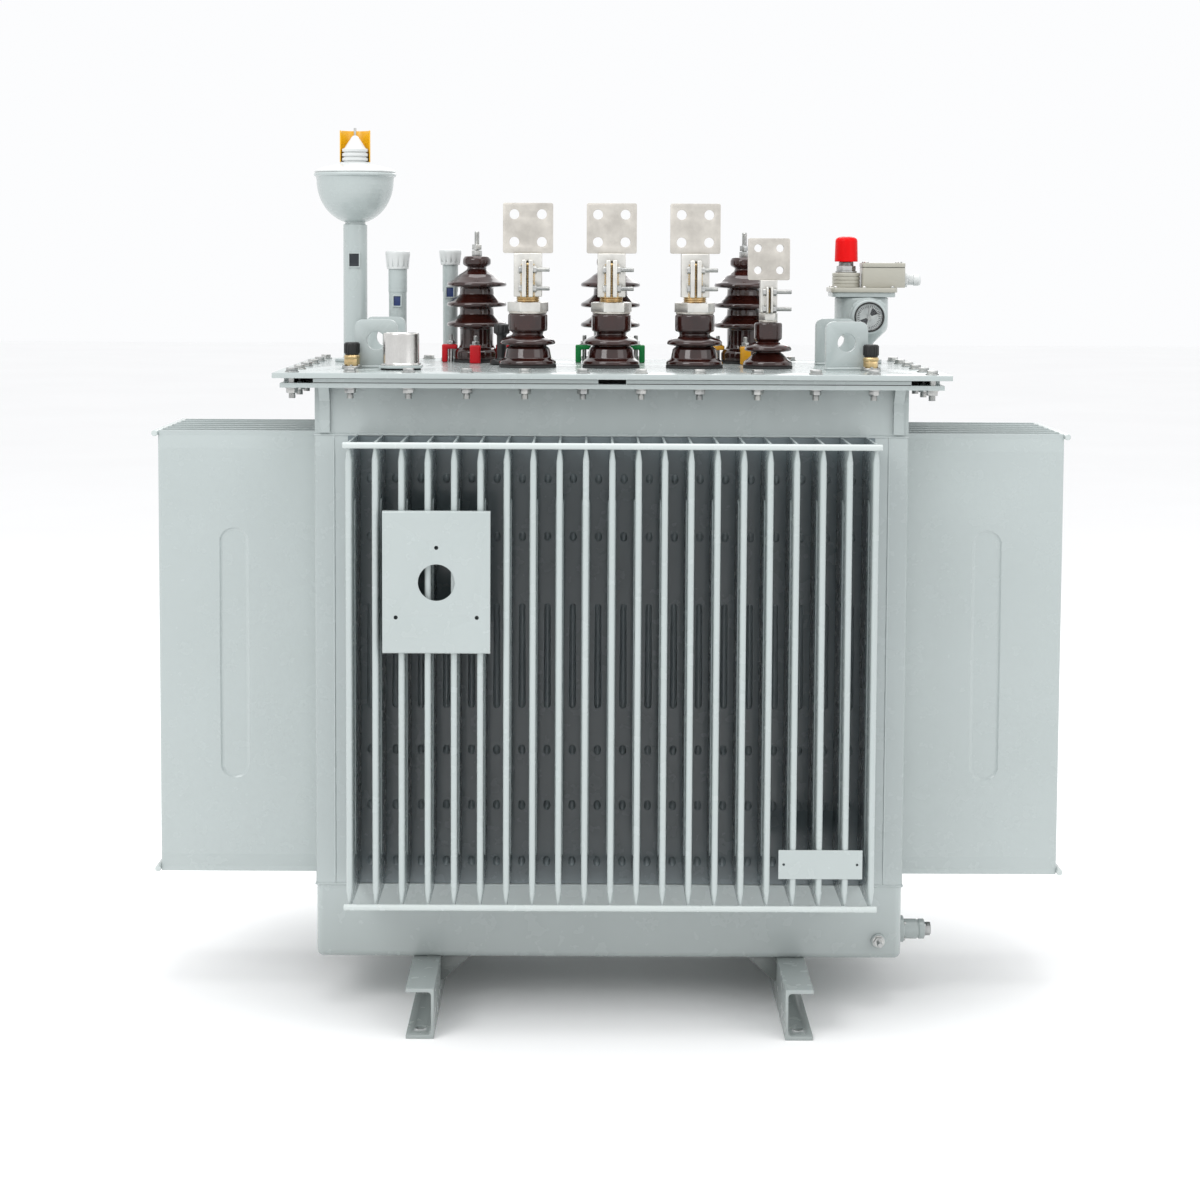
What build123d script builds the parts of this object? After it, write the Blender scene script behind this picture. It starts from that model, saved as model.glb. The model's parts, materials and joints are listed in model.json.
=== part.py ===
from build123d import *

import os
from math import cos, pi, radians, sin, tan

# A sealed three-phase distribution transformer with a corrugated fin tank, open porcelain bushings
# on its lid and two skids under it. Millimetres, +Z up, -Y is the low-voltage front, and the origin
# is on the floor under the middle of the tank.

# --- driving dimensions ------------------------------------------------------------------------
# tank
TANK_LENGTH = 1040
TANK_DEPTH = 450
TANK_WALL = 4
BASE_HEIGHT = 133
BASE_FLOOR = 5
BASE_CORNER = 12
NECK_HEIGHT = 85
SHEET = 1.5

# fins
FIN_HEIGHT = 800
FIN_THICKNESS = 12
FIN_PINCH = 4
FIN_TAPER = 20
FRONT_FINS = 21
FRONT_FIN_PITCH = 44.5
FRONT_FIN_DEPTH = 160
SIDE_FINS = 7
SIDE_FIN_PITCH = 47
SIDE_FIN_DEPTH = 290
ROD_DIAMETER = 11
ROD_INSET = 5
ROD_OVERHANG = 9

# skids
SKID_LENGTH = 800
SKID_HEIGHT = 88
SKID_FLANGE = 48
SKID_WEB = 5
SKID_FLANGE_THICKNESS = 7
SKID_SPAN = 600
SKID_HOLE_DIAMETER = 18
SKID_HOLE_FROM_END = 40
GUSSET_REACH = 54
GUSSET_DROP = 45
GUSSET_THICKNESS = 6

# flange, gasket and lid
FLANGE_THICKNESS = 8
FLANGE_OVERHANG = 54
FLANGE_LIP = 18
GASKET_THICKNESS = 9
GASKET_WIDTH = 18
SPACER_WIDTH = 8
SPACER_GAP = 48
LID_THICKNESS = 9
LID_OVERHANG = 66
LID_BOLTS_LONG = 12
LID_BOLTS_SHORT = 6
LID_BOLT_DIAMETER = 12
LID_BOLT_HOLE = 14
LID_BOLT_INSET = 31
LID_BOLT_HEAD = 18
LID_BOLT_HEAD_HEIGHT = 8
LID_NUT_HEIGHT = 10
LID_BOLT_TAIL = 9
NECK_GUSSET_WIDTH = 18
NECK_GUSSET_THICKNESS = 7

# lifting lugs
LUG_X = 424
LUG_Y = 95
LUG_WIDTH = 76
LUG_HEIGHT = 87
LUG_THICKNESS = 12
LUG_CORNER = 14
LUG_HOLE_DIAMETER = 33
LUG_HOLE_HEIGHT = 49

# low-voltage bushings
LV_PITCH = 152
LV_Y = -48
NEUTRAL_X = 286
LV_BORE_CLEARANCE = 0.5
LV_SLEEVE_LENGTH = 34
LV_STUD_TAIL = 60
SEAT_GASKET = 5
LV_STUD_RADIUS = 21
LV_DRUM_RADIUS = 36
LV_SHED_RADIUS = 50.5
LV_BASE_RADIUS = 52
LV_SLEEVE_RADIUS = 31
LV_SHED_HEIGHT = 50
LV_DRUM_FOOT = 67
LV_DRUM_TOP = 98
LV_NUT = 65
LV_NUT_HEIGHT = 18
LV_CLAMP_WIDTH = 51
LV_CLAMP_HEIGHT = 79
LV_FLAG = 91
LV_FLAG_THICKNESS = 12
LV_FLAG_HOLE = 18
LV_FLAG_PITCH = 50
LV_THREAD_SHOWN = 9
CLAMP_CROWN = 14
STUD_TO_CROWN = 1
NEUTRAL_STUD_RADIUS = 10
NEUTRAL_DRUM_RADIUS = 25.5
NEUTRAL_SHED_RADIUS = 43
NEUTRAL_BASE_RADIUS = 45
NEUTRAL_SLEEVE_RADIUS = 21
NEUTRAL_SHED_HEIGHT = 40
NEUTRAL_DRUM_FOOT = 53
NEUTRAL_DRUM_TOP = 84
NEUTRAL_NUT = 30
NEUTRAL_NUT_HEIGHT = 14
NEUTRAL_CLAMP_WIDTH = 31
NEUTRAL_CLAMP_HEIGHT = 59
NEUTRAL_FLAG = 76
NEUTRAL_FLAG_HOLE = 14
NEUTRAL_FLAG_PITCH = 40
WASHER_THICKNESS = 3.5
CLAMP_SLOT = 3
CLAMP_EAR = 18
PINCH_SCREW_DIAMETER = 8
PINCH_SCREW_END = 40
PINCH_SCREW_PITCH = 34
HEX_DEPTH = 6

# high-voltage bushings
HV_PITCH = 254
HV_Y = 140
HV_STUD_RADIUS = 5
HV_BODY_RADIUS = 31.5
HV_SHED_RADIUS = 57
HV_SHED_HEIGHTS = (72, 110, 148)
HV_BASE_RADIUS = 43
HV_BASE_THICKNESS = 20
HV_SLEEVE_RADIUS = 30
HV_SLEEVE_LENGTH = 60
HV_STUD_TAIL = 80
HV_NECK_RADIUS = 17
HV_PORCELAIN_HEIGHT = 197
HV_KNOB_RADIUS = 26.5
HV_KNOB_HEIGHT = 20
HV_NUT = 17
HV_NUT_HEIGHT = 22
HV_STUD_TIP = 24
HV_TIP_RADIUS = 4.75
CLAWS_PER_BUSHING = 4
CLAW_WIDTH = 20
CLAW_LEG = 11
CLAW_BOLT_GAP = 6
CLAW_ARM = 9
CLAW_GRIP = 6
CLAW_BOLT_DIAMETER = 8
CLAW_NUT = 13
CLAW_BOLT_TIP = 12

# oil-level vent on its tall stem
VENT_X = -486
VENT_Y = 150
STEM_RADIUS = 22.75
STEM_WALL = 3
STEM_HEIGHT = 262
STEM_WINDOW = 24
STEM_WINDOW_HEIGHT = 193
STEM_WINDOW_WIDTH = 18
BOWL_RADIUS = 74
LIP_RADIUS = 78
LIP_THICKNESS = 6
BOWL_WALL = 3
BOWL_HEIGHT = 96
VENT_LID_RISE = 15
VENT_STACK_RADIUS = 24.5
VENT_RINGS = 3
VENT_RING_PITCH = 8.5
VENT_RING_GROOVE = 4
VENT_CONE_HEIGHT = 25
VENT_CONE_TIP = 4
VENT_LID_CROWN = 5
GUARD_RADIUS = 29
GUARD_WALL = 2
GUARD_HEIGHT = 60
GUARD_FRONT = -2
VENT_PIN_RADIUS = 2.5
VENT_PIN_LENGTH = 50
VENT_PIN_TIP = 14
VENT_FOOT_RADIUS = 39
VENT_FOOT_THICKNESS = 6
FLOAT_HEIGHT = 18
FLOAT_CLEARANCE = 1.2

# filler pipes: x, y, pipe radius, cap radius, cap height, cap top above the lid
PIPE_WALL = 3
PIPE_FOOT_RING = 4
PIPE_FOOT_HEIGHT = 6
CAP_CROWN = 8
FILLERS = {
    "left": (-404, 135, 17, 23.5, 35, 211),
    "right": (-308, 199, 14.2, 21.5, 30, 214),
}
CAP_FIT = 0.4

# relief valve under its polished cup
RELIEF_X = -375
RELIEF_Y = -150
RELIEF_PLATE = 76
RELIEF_PLATE_THICKNESS = 8
RELIEF_CUP_RADIUS = 32.5
RELIEF_CUP_HEIGHT = 57
RELIEF_CUP_WALL = 2
RELIEF_PORT_RADIUS = 14
RELIEF_DISC_RADIUS = 22
RELIEF_DISC_THICKNESS = 6
RELIEF_STEM_RADIUS = 5
RELIEF_STEM_HEIGHT = 34
RELIEF_PLATE_CORNER = 12

# thermometer pockets
POCKET_X = 465
POCKET_Y = -122
POCKET_RADIUS = 14.5
POCKET_HEIGHT = 25
POCKET_PLATE_RADIUS = 18
POCKET_PLATE_THICKNESS = 5
POCKET_CAP_HEIGHT = 22
POCKET_SPIGOT_RADIUS = 9
POCKET_SPIGOT_HEIGHT = 10
POCKET_TUBE_DEPTH = 140
POCKET_TUBE_WALL = 3

# protection relay
RELAY_X = 481
RELAY_Y = 170
RELAY_RADIUS = 51
RELAY_BODY_FOOT = 64
RELAY_BODY_TOP = 127
RELAY_PIPE_RADIUS = 22
RELAY_PIPE_TOP = 36
RELAY_FOOT_RADIUS = 40
RELAY_FOOT_THICKNESS = 8
RELAY_DECK = 127
RELAY_DECK_DEPTH = 104
RELAY_DECK_THICKNESS = 18
RELAY_DECK_CORNER = 14
DIAL_STANDOFF = 4
DIAL_X = 489
DIAL_HEIGHT = 90
DIAL_RADIUS = 33
DIAL_FACE_RADIUS = 25
DIAL_THICKNESS = 12
DIAL_RECESS = 8
POINTER_LENGTH = 20
POINTER_THICKNESS = 2
POINTER_PIN_RADIUS = 3
STACK_X = 451
STACK_RADIUS = 26.5
STACK_HEIGHT = 28
RELAY_NECK_RADIUS = 15
RELAY_NECK_HEIGHT = 21
RELAY_SPIGOT_RADIUS = 10
RELAY_SPIGOT_HEIGHT = 18
RELAY_CAP_RADIUS = 22
RELAY_CAP_HEIGHT = 48
RELAY_BOX = (82, 50, 47)
GLAND_RADIUS = 13
GLAND_LENGTH = 32
GLAND_BORE = 12
GLAND_DROP = 9

# tap switch, its rack and its knob
TAP_X = -203
TAP_Y = 40
TAP_SHAFT_RADIUS = 6
TAP_KNOB_RADIUS = 15
TAP_KNOB_HEIGHT = 58
TAP_KNOB_GRIP = 18
TAP_STEM_RADIUS = 9
TAP_SKIRT_RADIUS = 22
TAP_SKIRT_HEIGHT = 10
TAP_MODULE = 2
TAP_TEETH = 16
TAP_GEAR_WIDTH = 12
TAP_DROP = 130
TAP_GUIDE_SPARE = 10
TAP_BAR_LENGTH = 130
TAP_BAR_DEPTH = 12
TAP_GUIDE_WALL = 8
TAP_TRAVEL = 20
BACKLASH = 0.9

# running fits
RUNNING_FIT = 0.05
MOVING_GAP = 0.3

# plates and small fittings on the tank
GAUGE_PLATE_X = -296
GAUGE_PLATE_Z = 785
GAUGE_PLATE_WIDTH = 182
GAUGE_PLATE_HEIGHT = 242
GAUGE_PLATE_THICKNESS = 2
GAUGE_PLATE_STANDOFF = 12
GAUGE_HOLE_DIAMETER = 62
GAUGE_SCREW_CIRCLE = 158
GAUGE_SCREW_HOLE = 7
GAUGE_SCREW_DROP = 20
NAMEPLATE_X = 358
NAMEPLATE_Z = 302
NAMEPLATE = (143, 50)
NAMEPLATE_THICKNESS = 1.5
NAMEPLATE_HOLE = 4.6
NAMEPLATE_HOLE_INSET = 9
EARTH_X = 479
EARTH_Z = 122
EARTH_BOLT_DIAMETER = 10
EARTH_BOLT_LENGTH = 30
EARTH_PAD_RADIUS = 13
EARTH_PAD_THICKNESS = 6
EARTH_NUT = 17
EARTH_NUT_THICKNESS = 9
DRAIN_Y = -130
DRAIN_Z = 116
DRAIN_FLANGE_RADIUS = 24
DRAIN_FLANGE_THICKNESS = 12
DRAIN_GASKET = 4
DRAIN_BODY_RADIUS = 18
DRAIN_BODY_LENGTH = 38
DRAIN_PLUG_RADIUS = 10
DRAIN_PLUG_DEPTH = 22
DRAIN_PLUG_HEAD = 22
DRAIN_PLUG_HEAD_LENGTH = 14

# core and windings
LIMB_PITCH = 330
LIMB = 108
YOKE_HEIGHT = 120
CORE_FLOOR_GAP = 45
WINDOW_HEIGHT = 520
COIL_END_GAP = 12
LV_COIL = (80, 104)
HV_COIL = (116, 154)
CLAMP_WALL = 8
CLAMP_FLANGE = 34
LV_LEAD = (40, 6)
HV_LEAD_DIAMETER = 9

# --- levels and half sizes that follow ---------------------------------------------------------
HALF_L = TANK_LENGTH / 2
HALF_D = TANK_DEPTH / 2
BASE_TOP = SKID_HEIGHT + BASE_HEIGHT
FINS_TOP = BASE_TOP + FIN_HEIGHT
NECK_TOP = FINS_TOP + NECK_HEIGHT
FLANGE_TOP = NECK_TOP + FLANGE_THICKNESS
LID_UNDER = FLANGE_TOP + GASKET_THICKNESS
LID_TOP = LID_UNDER + LID_THICKNESS
SEAT = LID_TOP + SEAT_GASKET
FRONT_TIP = HALF_D + FRONT_FIN_DEPTH
SIDE_TIP = HALF_L + SIDE_FIN_DEPTH
BOLT_X = HALF_L + LID_OVERHANG - LID_BOLT_INSET
BOLT_Y = HALF_D + LID_OVERHANG - LID_BOLT_INSET
PHASES = (-1, 0, 1)


# --- small shapes ------------------------------------------------------------------------------
def block(x, y, z):
    size = (x[1] - x[0], y[1] - y[0], z[1] - z[0])
    return Pos((x[0] + x[1]) / 2, (y[0] + y[1]) / 2, (z[0] + z[1]) / 2) * Box(*size)


def post(radius, x, y, z):
    return Pos(x, y, (z[0] + z[1]) / 2) * Cylinder(radius, z[1] - z[0])


def bar_x(radius, x, y, z):
    return Pos((x[0] + x[1]) / 2, y, z) * Rot(0, 90, 0) * Cylinder(radius, x[1] - x[0])


def bar_y(radius, x, y, z):
    return Pos(x, (y[0] + y[1]) / 2, z) * Rot(90, 0, 0) * Cylinder(radius, y[1] - y[0])


def hexagon(across_flats, height):
    """A hexagonal prism that stands on z = 0."""
    outline = RegularPolygon(across_flats / 2, 6, major_radius=False)
    return extrude(outline, height)


def turned(points):
    """A solid turned about Z from an outline of (radius, height) points."""
    outline = Polyline(*[(r, 0, z) for r, z in points], close=True)
    return revolve(make_face(outline), Axis.Z)


def slab_xz(points, y):
    """An outline of (x, z) points given thickness from y[0] to y[1]."""
    outline = make_face(Polyline(*[(x, y[0], z) for x, z in points], close=True))
    return extrude(outline, y[1] - y[0], dir=(0, 1, 0))


def ring_plate(half_x, half_y, width, z):
    """A rectangular frame, its outside at half_x and half_y."""
    outside = block((-half_x, half_x), (-half_y, half_y), z)
    inside_x = half_x - width
    inside_y = half_y - width
    return outside - block((-inside_x, inside_x), (-inside_y, inside_y), z)


def save(name, *pieces):
    solids = [solid for piece in pieces for solid in piece.solids()]
    group = solids[0] if len(solids) == 1 else Compound(children=solids)
    export_step(group, os.path.join("parts", name + ".step"))


def spread(count, pitch):
    """Places of a row that is centred on zero."""
    return [(i - (count - 1) / 2) * pitch for i in range(count)]


# --- tank --------------------------------------------------------------------------------------
def tank_base():
    tray = block((-HALF_L, HALF_L), (-HALF_D, HALF_D), (SKID_HEIGHT, BASE_TOP))
    corners = tray.edges().filter_by(Axis.Z) + tray.faces().sort_by(Axis.Z)[0].edges()
    tray = fillet(corners, BASE_CORNER)
    inner_x = HALF_L - TANK_WALL
    inner_y = HALF_D - TANK_WALL
    hollow = block((-inner_x, inner_x), (-inner_y, inner_y), (SKID_HEIGHT + BASE_FLOOR, BASE_TOP))
    inside_corner = BASE_CORNER - TANK_WALL
    tray -= fillet(hollow.edges().filter_by(Axis.Z), inside_corner)
    port = bar_x(DRAIN_PLUG_RADIUS, (inner_x - 10, HALF_L + 1), DRAIN_Y, DRAIN_Z)
    earth = bar_y(EARTH_BOLT_DIAMETER / 2, EARTH_X, (-HALF_D - 1, -inner_y + 10), EARTH_Z)
    return tray - port - earth


def fin(depth, thickness_cut, end_cut):
    """One fin's outline at x = 0, standing out along -Y from y = 0."""
    half = FIN_THICKNESS / 2 - thickness_cut
    pinch = FIN_PINCH / 2 - thickness_cut
    low = BASE_TOP + end_cut
    high = FINS_TOP - end_cut
    outline = [
        (-pinch, low), (pinch, low), (half, low + FIN_TAPER), (half, high - FIN_TAPER),
        (pinch, high), (-pinch, high), (-half, high - FIN_TAPER), (-half, low + FIN_TAPER),
    ]
    return slab_xz(outline, (-depth, 0))


def fin_wall(length, places, depth):
    """A wall of hollow fins, its outer face on y = 0 and its fins along -Y."""
    wall = block((-length / 2, length / 2), (0, SHEET), (BASE_TOP, FINS_TOP))
    outer = fin(depth, 0, 0)
    hollow = Pos(0, SHEET, 0) * fin(depth, SHEET, 2 * SHEET)
    wall += [Pos(x, 0, 0) * outer for x in places]
    wall -= [Pos(x, 0, 0) * hollow for x in places]
    return wall


def tank_walls():
    front = fin_wall(TANK_LENGTH, spread(FRONT_FINS, FRONT_FIN_PITCH), FRONT_FIN_DEPTH)
    side_length = TANK_DEPTH - 2 * SHEET
    side = fin_wall(side_length, spread(SIDE_FINS, SIDE_FIN_PITCH), SIDE_FIN_DEPTH)
    save("front_wall", Pos(0, -HALF_D, 0) * front)
    save("rear_wall", Pos(0, HALF_D, 0) * Rot(0, 0, 180) * front)
    save("left_wall", Pos(-HALF_L, 0, 0) * Rot(0, 0, -90) * side)
    save("right_wall", Pos(HALF_L, 0, 0) * Rot(0, 0, 90) * side)


def fin_rods():
    radius = ROD_DIAMETER / 2
    front_reach = (FRONT_FINS - 1) / 2 * FRONT_FIN_PITCH + ROD_OVERHANG
    side_reach = (SIDE_FINS - 1) / 2 * SIDE_FIN_PITCH + ROD_OVERHANG
    rods = []
    for z in (BASE_TOP + ROD_INSET, FINS_TOP - ROD_INSET):
        for side in (-1, 1):
            rods.append(bar_x(radius, (-front_reach, front_reach), side * (FRONT_TIP + radius), z))
            rods.append(bar_y(radius, side * (SIDE_TIP + radius), (-side_reach, side_reach), z))
    return rods


def neck_gussets():
    """Four flat bars up the corners of the neck that bend out under the flange."""
    out = FLANGE_OVERHANG - FLANGE_LIP - 10
    wide = NECK_GUSSET_WIDTH
    low = FINS_TOP + 4
    bend = NECK_TOP - out
    bars = []
    path = [
        (0, low), (NECK_GUSSET_THICKNESS, low), (NECK_GUSSET_THICKNESS, bend),
        (out, NECK_TOP), (out - NECK_GUSSET_THICKNESS, NECK_TOP), (0, bend + 4),
    ]
    for side_x in (-1, 1):
        for side_y in (-1, 1):
            x = side_x * (HALF_L - wide)
            points = [(0, side_y * (HALF_D + reach), z) for reach, z in path]
            outline = make_face(Polyline(*points, close=True))
            bar = extrude(outline, wide, dir=(1, 0, 0))
            bars.append(Pos(x - wide / 2, 0, 0) * bar)
    return bars


def skid(side):
    """A channel with its web inside and its flanges outside, and its two gusset plates."""
    half = SKID_LENGTH / 2
    web = SKID_SPAN / 2
    out = web + SKID_FLANGE
    channel = block((web, out), (-half, half), (0, SKID_HEIGHT))
    gap = (SKID_FLANGE_THICKNESS, SKID_HEIGHT - SKID_FLANGE_THICKNESS)
    channel -= block((web + SKID_WEB, out), (-half, half), gap)
    hole_x = web + SKID_FLANGE / 2 + 1
    for y in (-1, 1):
        place = y * (half - SKID_HOLE_FROM_END)
        channel -= post(SKID_HOLE_DIAMETER / 2, hole_x, place, (0, SKID_FLANGE_THICKNESS))
        corner = [(web, SKID_HEIGHT), (web - GUSSET_REACH, SKID_HEIGHT), (web, SKID_HEIGHT - GUSSET_DROP)]
        middle = y * (HALF_D - BASE_CORNER - GUSSET_THICKNESS)
        channel += slab_xz(corner, (middle - GUSSET_THICKNESS / 2, middle + GUSSET_THICKNESS / 2))
    return channel if side > 0 else mirror(channel, Plane.YZ)


# --- flange, gasket, lid and their bolts -------------------------------------------------------
def bolt_places():
    long_pitch = 2 * BOLT_X / (LID_BOLTS_LONG - 1)
    short_pitch = 2 * BOLT_Y / (LID_BOLTS_SHORT - 1)
    places = [(x, side * BOLT_Y) for x in spread(LID_BOLTS_LONG, long_pitch) for side in (-1, 1)]
    inner = spread(LID_BOLTS_SHORT, short_pitch)[1:-1]
    return places + [(side * BOLT_X, y) for y in inner for side in (-1, 1)]


def bolt_holes(z):
    return [post(LID_BOLT_HOLE / 2, x, y, z) for x, y in bolt_places()]


def tank_flange():
    half_x = HALF_L + FLANGE_OVERHANG
    half_y = HALF_D + FLANGE_OVERHANG
    z = (NECK_TOP, FLANGE_TOP)
    return ring_plate(half_x, half_y, FLANGE_OVERHANG + TANK_WALL, z) - bolt_holes(z)


def lid_gasket():
    z = (FLANGE_TOP, LID_UNDER)
    return ring_plate(HALF_L + GASKET_WIDTH - TANK_WALL, HALF_D + GASKET_WIDTH - TANK_WALL, GASKET_WIDTH, z)


def lid_spacers():
    """Strips round the edge of the flange, with gaps at the middle of each long side and at the corners."""
    half_x = HALF_L + FLANGE_OVERHANG
    half_y = HALF_D + FLANGE_OVERHANG
    z = (FLANGE_TOP, LID_UNDER)
    strips = []
    for side in (-1, 1):
        edge = sorted((side * half_y, side * (half_y - SPACER_WIDTH)))
        for end in (-1, 1):
            run = sorted((end * SPACER_GAP / 2, end * (half_x - 1.2 * SPACER_GAP)))
            strips.append(block(run, edge, z))
        end_edge = sorted((side * half_x, side * (half_x - SPACER_WIDTH)))
        reach = half_y - 1.2 * SPACER_GAP
        strips.append(block(end_edge, (-reach, reach), z))
    return strips


def lid():
    half_x = HALF_L + LID_OVERHANG
    half_y = HALF_D + LID_OVERHANG
    z = (LID_UNDER, LID_TOP)
    plate = block((-half_x, half_x), (-half_y, half_y), z) - bolt_holes(z)
    sleeve_gap = 2
    ports = [post(LV_SLEEVE_RADIUS + sleeve_gap, i * LV_PITCH, LV_Y, z) for i in PHASES]
    ports += [post(HV_SLEEVE_RADIUS + sleeve_gap, i * HV_PITCH, HV_Y, z) for i in PHASES]
    ports.append(post(NEUTRAL_SLEEVE_RADIUS + sleeve_gap, NEUTRAL_X, LV_Y, z))
    ports.append(post(TAP_SHAFT_RADIUS + RUNNING_FIT, TAP_X, TAP_Y, z))
    ports.append(post(STEM_RADIUS - STEM_WALL, VENT_X, VENT_Y, z))
    ports.append(post(RELIEF_PORT_RADIUS, RELIEF_X, RELIEF_Y, z))
    ports.append(post(RELAY_PIPE_RADIUS - PIPE_WALL, RELAY_X, RELAY_Y, z))
    ports += [post(r - PIPE_WALL, x, y, z) for x, y, r, _, _, _ in FILLERS.values()]
    ports += [post(POCKET_SPIGOT_RADIUS, side * POCKET_X, POCKET_Y, z) for side in (-1, 1)]
    return plate - ports


def lid_fasteners():
    radius = LID_BOLT_DIAMETER / 2
    low = NECK_TOP - LID_NUT_HEIGHT
    shank = post(radius, 0, 0, (low - LID_BOLT_TAIL, LID_TOP))
    bolt = shank + Pos(0, 0, LID_TOP) * hexagon(LID_BOLT_HEAD, LID_BOLT_HEAD_HEIGHT)
    nut = Pos(0, 0, low) * hexagon(LID_BOLT_HEAD, LID_NUT_HEIGHT)
    nut -= post(radius + RUNNING_FIT, 0, 0, (low, NECK_TOP))
    pieces = []
    for x, y in bolt_places():
        pieces.append(Pos(x, y, 0) * bolt)
        pieces.append(Pos(x, y, 0) * nut)
    return pieces


def lifting_lugs():
    width = LUG_WIDTH / 2
    half = LUG_THICKNESS / 2
    plate = block((-width, width), (-half, half), (LID_TOP, LID_TOP + LUG_HEIGHT))
    top_corners = plate.edges().filter_by(Axis.Y).sort_by(Axis.Z)[-2:]
    plate = fillet(top_corners, LUG_CORNER)
    plate -= bar_y(LUG_HOLE_DIAMETER / 2, 0, (-LUG_THICKNESS, LUG_THICKNESS), LID_TOP + LUG_HOLE_HEIGHT)
    return [Pos(x * LUG_X, y * LUG_Y, 0) * plate for x in (-1, 1) for y in (-1, 1)]


# --- low-voltage bushings ----------------------------------------------------------------------
def lv_insulator(stud, drum, shed, base, sleeve, shed_height, drum_foot, drum_top):
    """A squat porcelain: sleeve under the lid, bell base, one shed, waist and drum."""
    bore = stud + LV_BORE_CLEARANCE
    waist = drum * 0.72
    outline = [
        (bore, LID_UNDER - LV_SLEEVE_LENGTH), (sleeve, LID_UNDER - LV_SLEEVE_LENGTH),
        (sleeve, SEAT), (base, SEAT),
        (base, SEAT + 6), (drum - 1, LID_TOP + shed_height - 9), (shed - 3, LID_TOP + shed_height - 9),
        (shed, LID_TOP + shed_height), (shed - 8, LID_TOP + shed_height + 7),
        (waist, LID_TOP + shed_height + 9), (waist, LID_TOP + drum_foot - 2), (drum, LID_TOP + drum_foot),
        (drum, LID_TOP + drum_top), (bore, LID_TOP + drum_top),
    ]
    return turned(outline)


def lv_terminal(stud, clamp, clamp_height, flag, hole, hole_pitch, foot):
    """A flag plate with four holes on a split clamp that grips the stud."""
    half = clamp / 2
    front = -half - CLAMP_EAR
    top = foot + clamp_height
    body = block((-half, half), (front, half), (foot, top))
    body -= post(stud + RUNNING_FIT, 0, 0, (foot, top - CLAMP_CROWN))
    body -= block((-CLAMP_SLOT / 2, CLAMP_SLOT / 2), (front, 0), (foot, top - CLAMP_CROWN))
    flag_y = LV_FLAG_THICKNESS / 2
    plate = block((-flag / 2, flag / 2), (-flag_y, flag_y), (top, top + flag))
    middle = top + flag / 2
    step = hole_pitch / 2
    for x in (-step, step):
        for z in (middle - step, middle + step):
            plate -= bar_y(hole / 2, x, (-flag_y, flag_y), z)
    for z in pinch_heights(foot, clamp_height):
        screw_y = -half - CLAMP_EAR / 2
        body -= bar_x(PINCH_SCREW_DIAMETER / 2 + MOVING_GAP, (-half, half), screw_y, z)
    return body + plate


def pinch_heights(foot, clamp_height):
    middle = foot + (clamp_height - CLAMP_CROWN) / 2
    reach = min(PINCH_SCREW_PITCH, clamp_height - 2 * CLAMP_CROWN) / 2
    return (middle - reach, middle + reach)


def pinch_screws(clamp, clamp_height, foot):
    """Two hexagon screws across the slot, each with its nut."""
    half = clamp / 2
    y = -half - CLAMP_EAR / 2
    radius = PINCH_SCREW_DIAMETER / 2
    screws = []
    for z in pinch_heights(foot, clamp_height):
        head = Pos(-half - HEX_DEPTH, y, z) * Rot(0, 90, 0) * hexagon(CLAW_NUT, HEX_DEPTH)
        nut = Pos(half, y, z) * Rot(0, 90, 0) * hexagon(CLAW_NUT, HEX_DEPTH)
        screws.append(head + nut + bar_x(radius, (-half, max(PINCH_SCREW_END, half + 10)), y, z))
    return screws


def lv_stud(radius, top):
    return post(radius, 0, 0, (LID_UNDER - LV_STUD_TAIL, top))


def stud_nut(stud, across, foot, height):
    """A hexagon nut on a round washer."""
    washer = post(across / 2 + 2, 0, 0, (foot, foot + WASHER_THICKNESS))
    nut = washer + Pos(0, 0, foot + WASHER_THICKNESS) * hexagon(across, height)
    return nut - post(stud + RUNNING_FIT, 0, 0, (foot, foot + WASHER_THICKNESS + height))


def seat_gasket(base, sleeve):
    return post(base, 0, 0, (LID_TOP, SEAT)) - post(sleeve + 1, 0, 0, (LID_TOP, SEAT))


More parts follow.
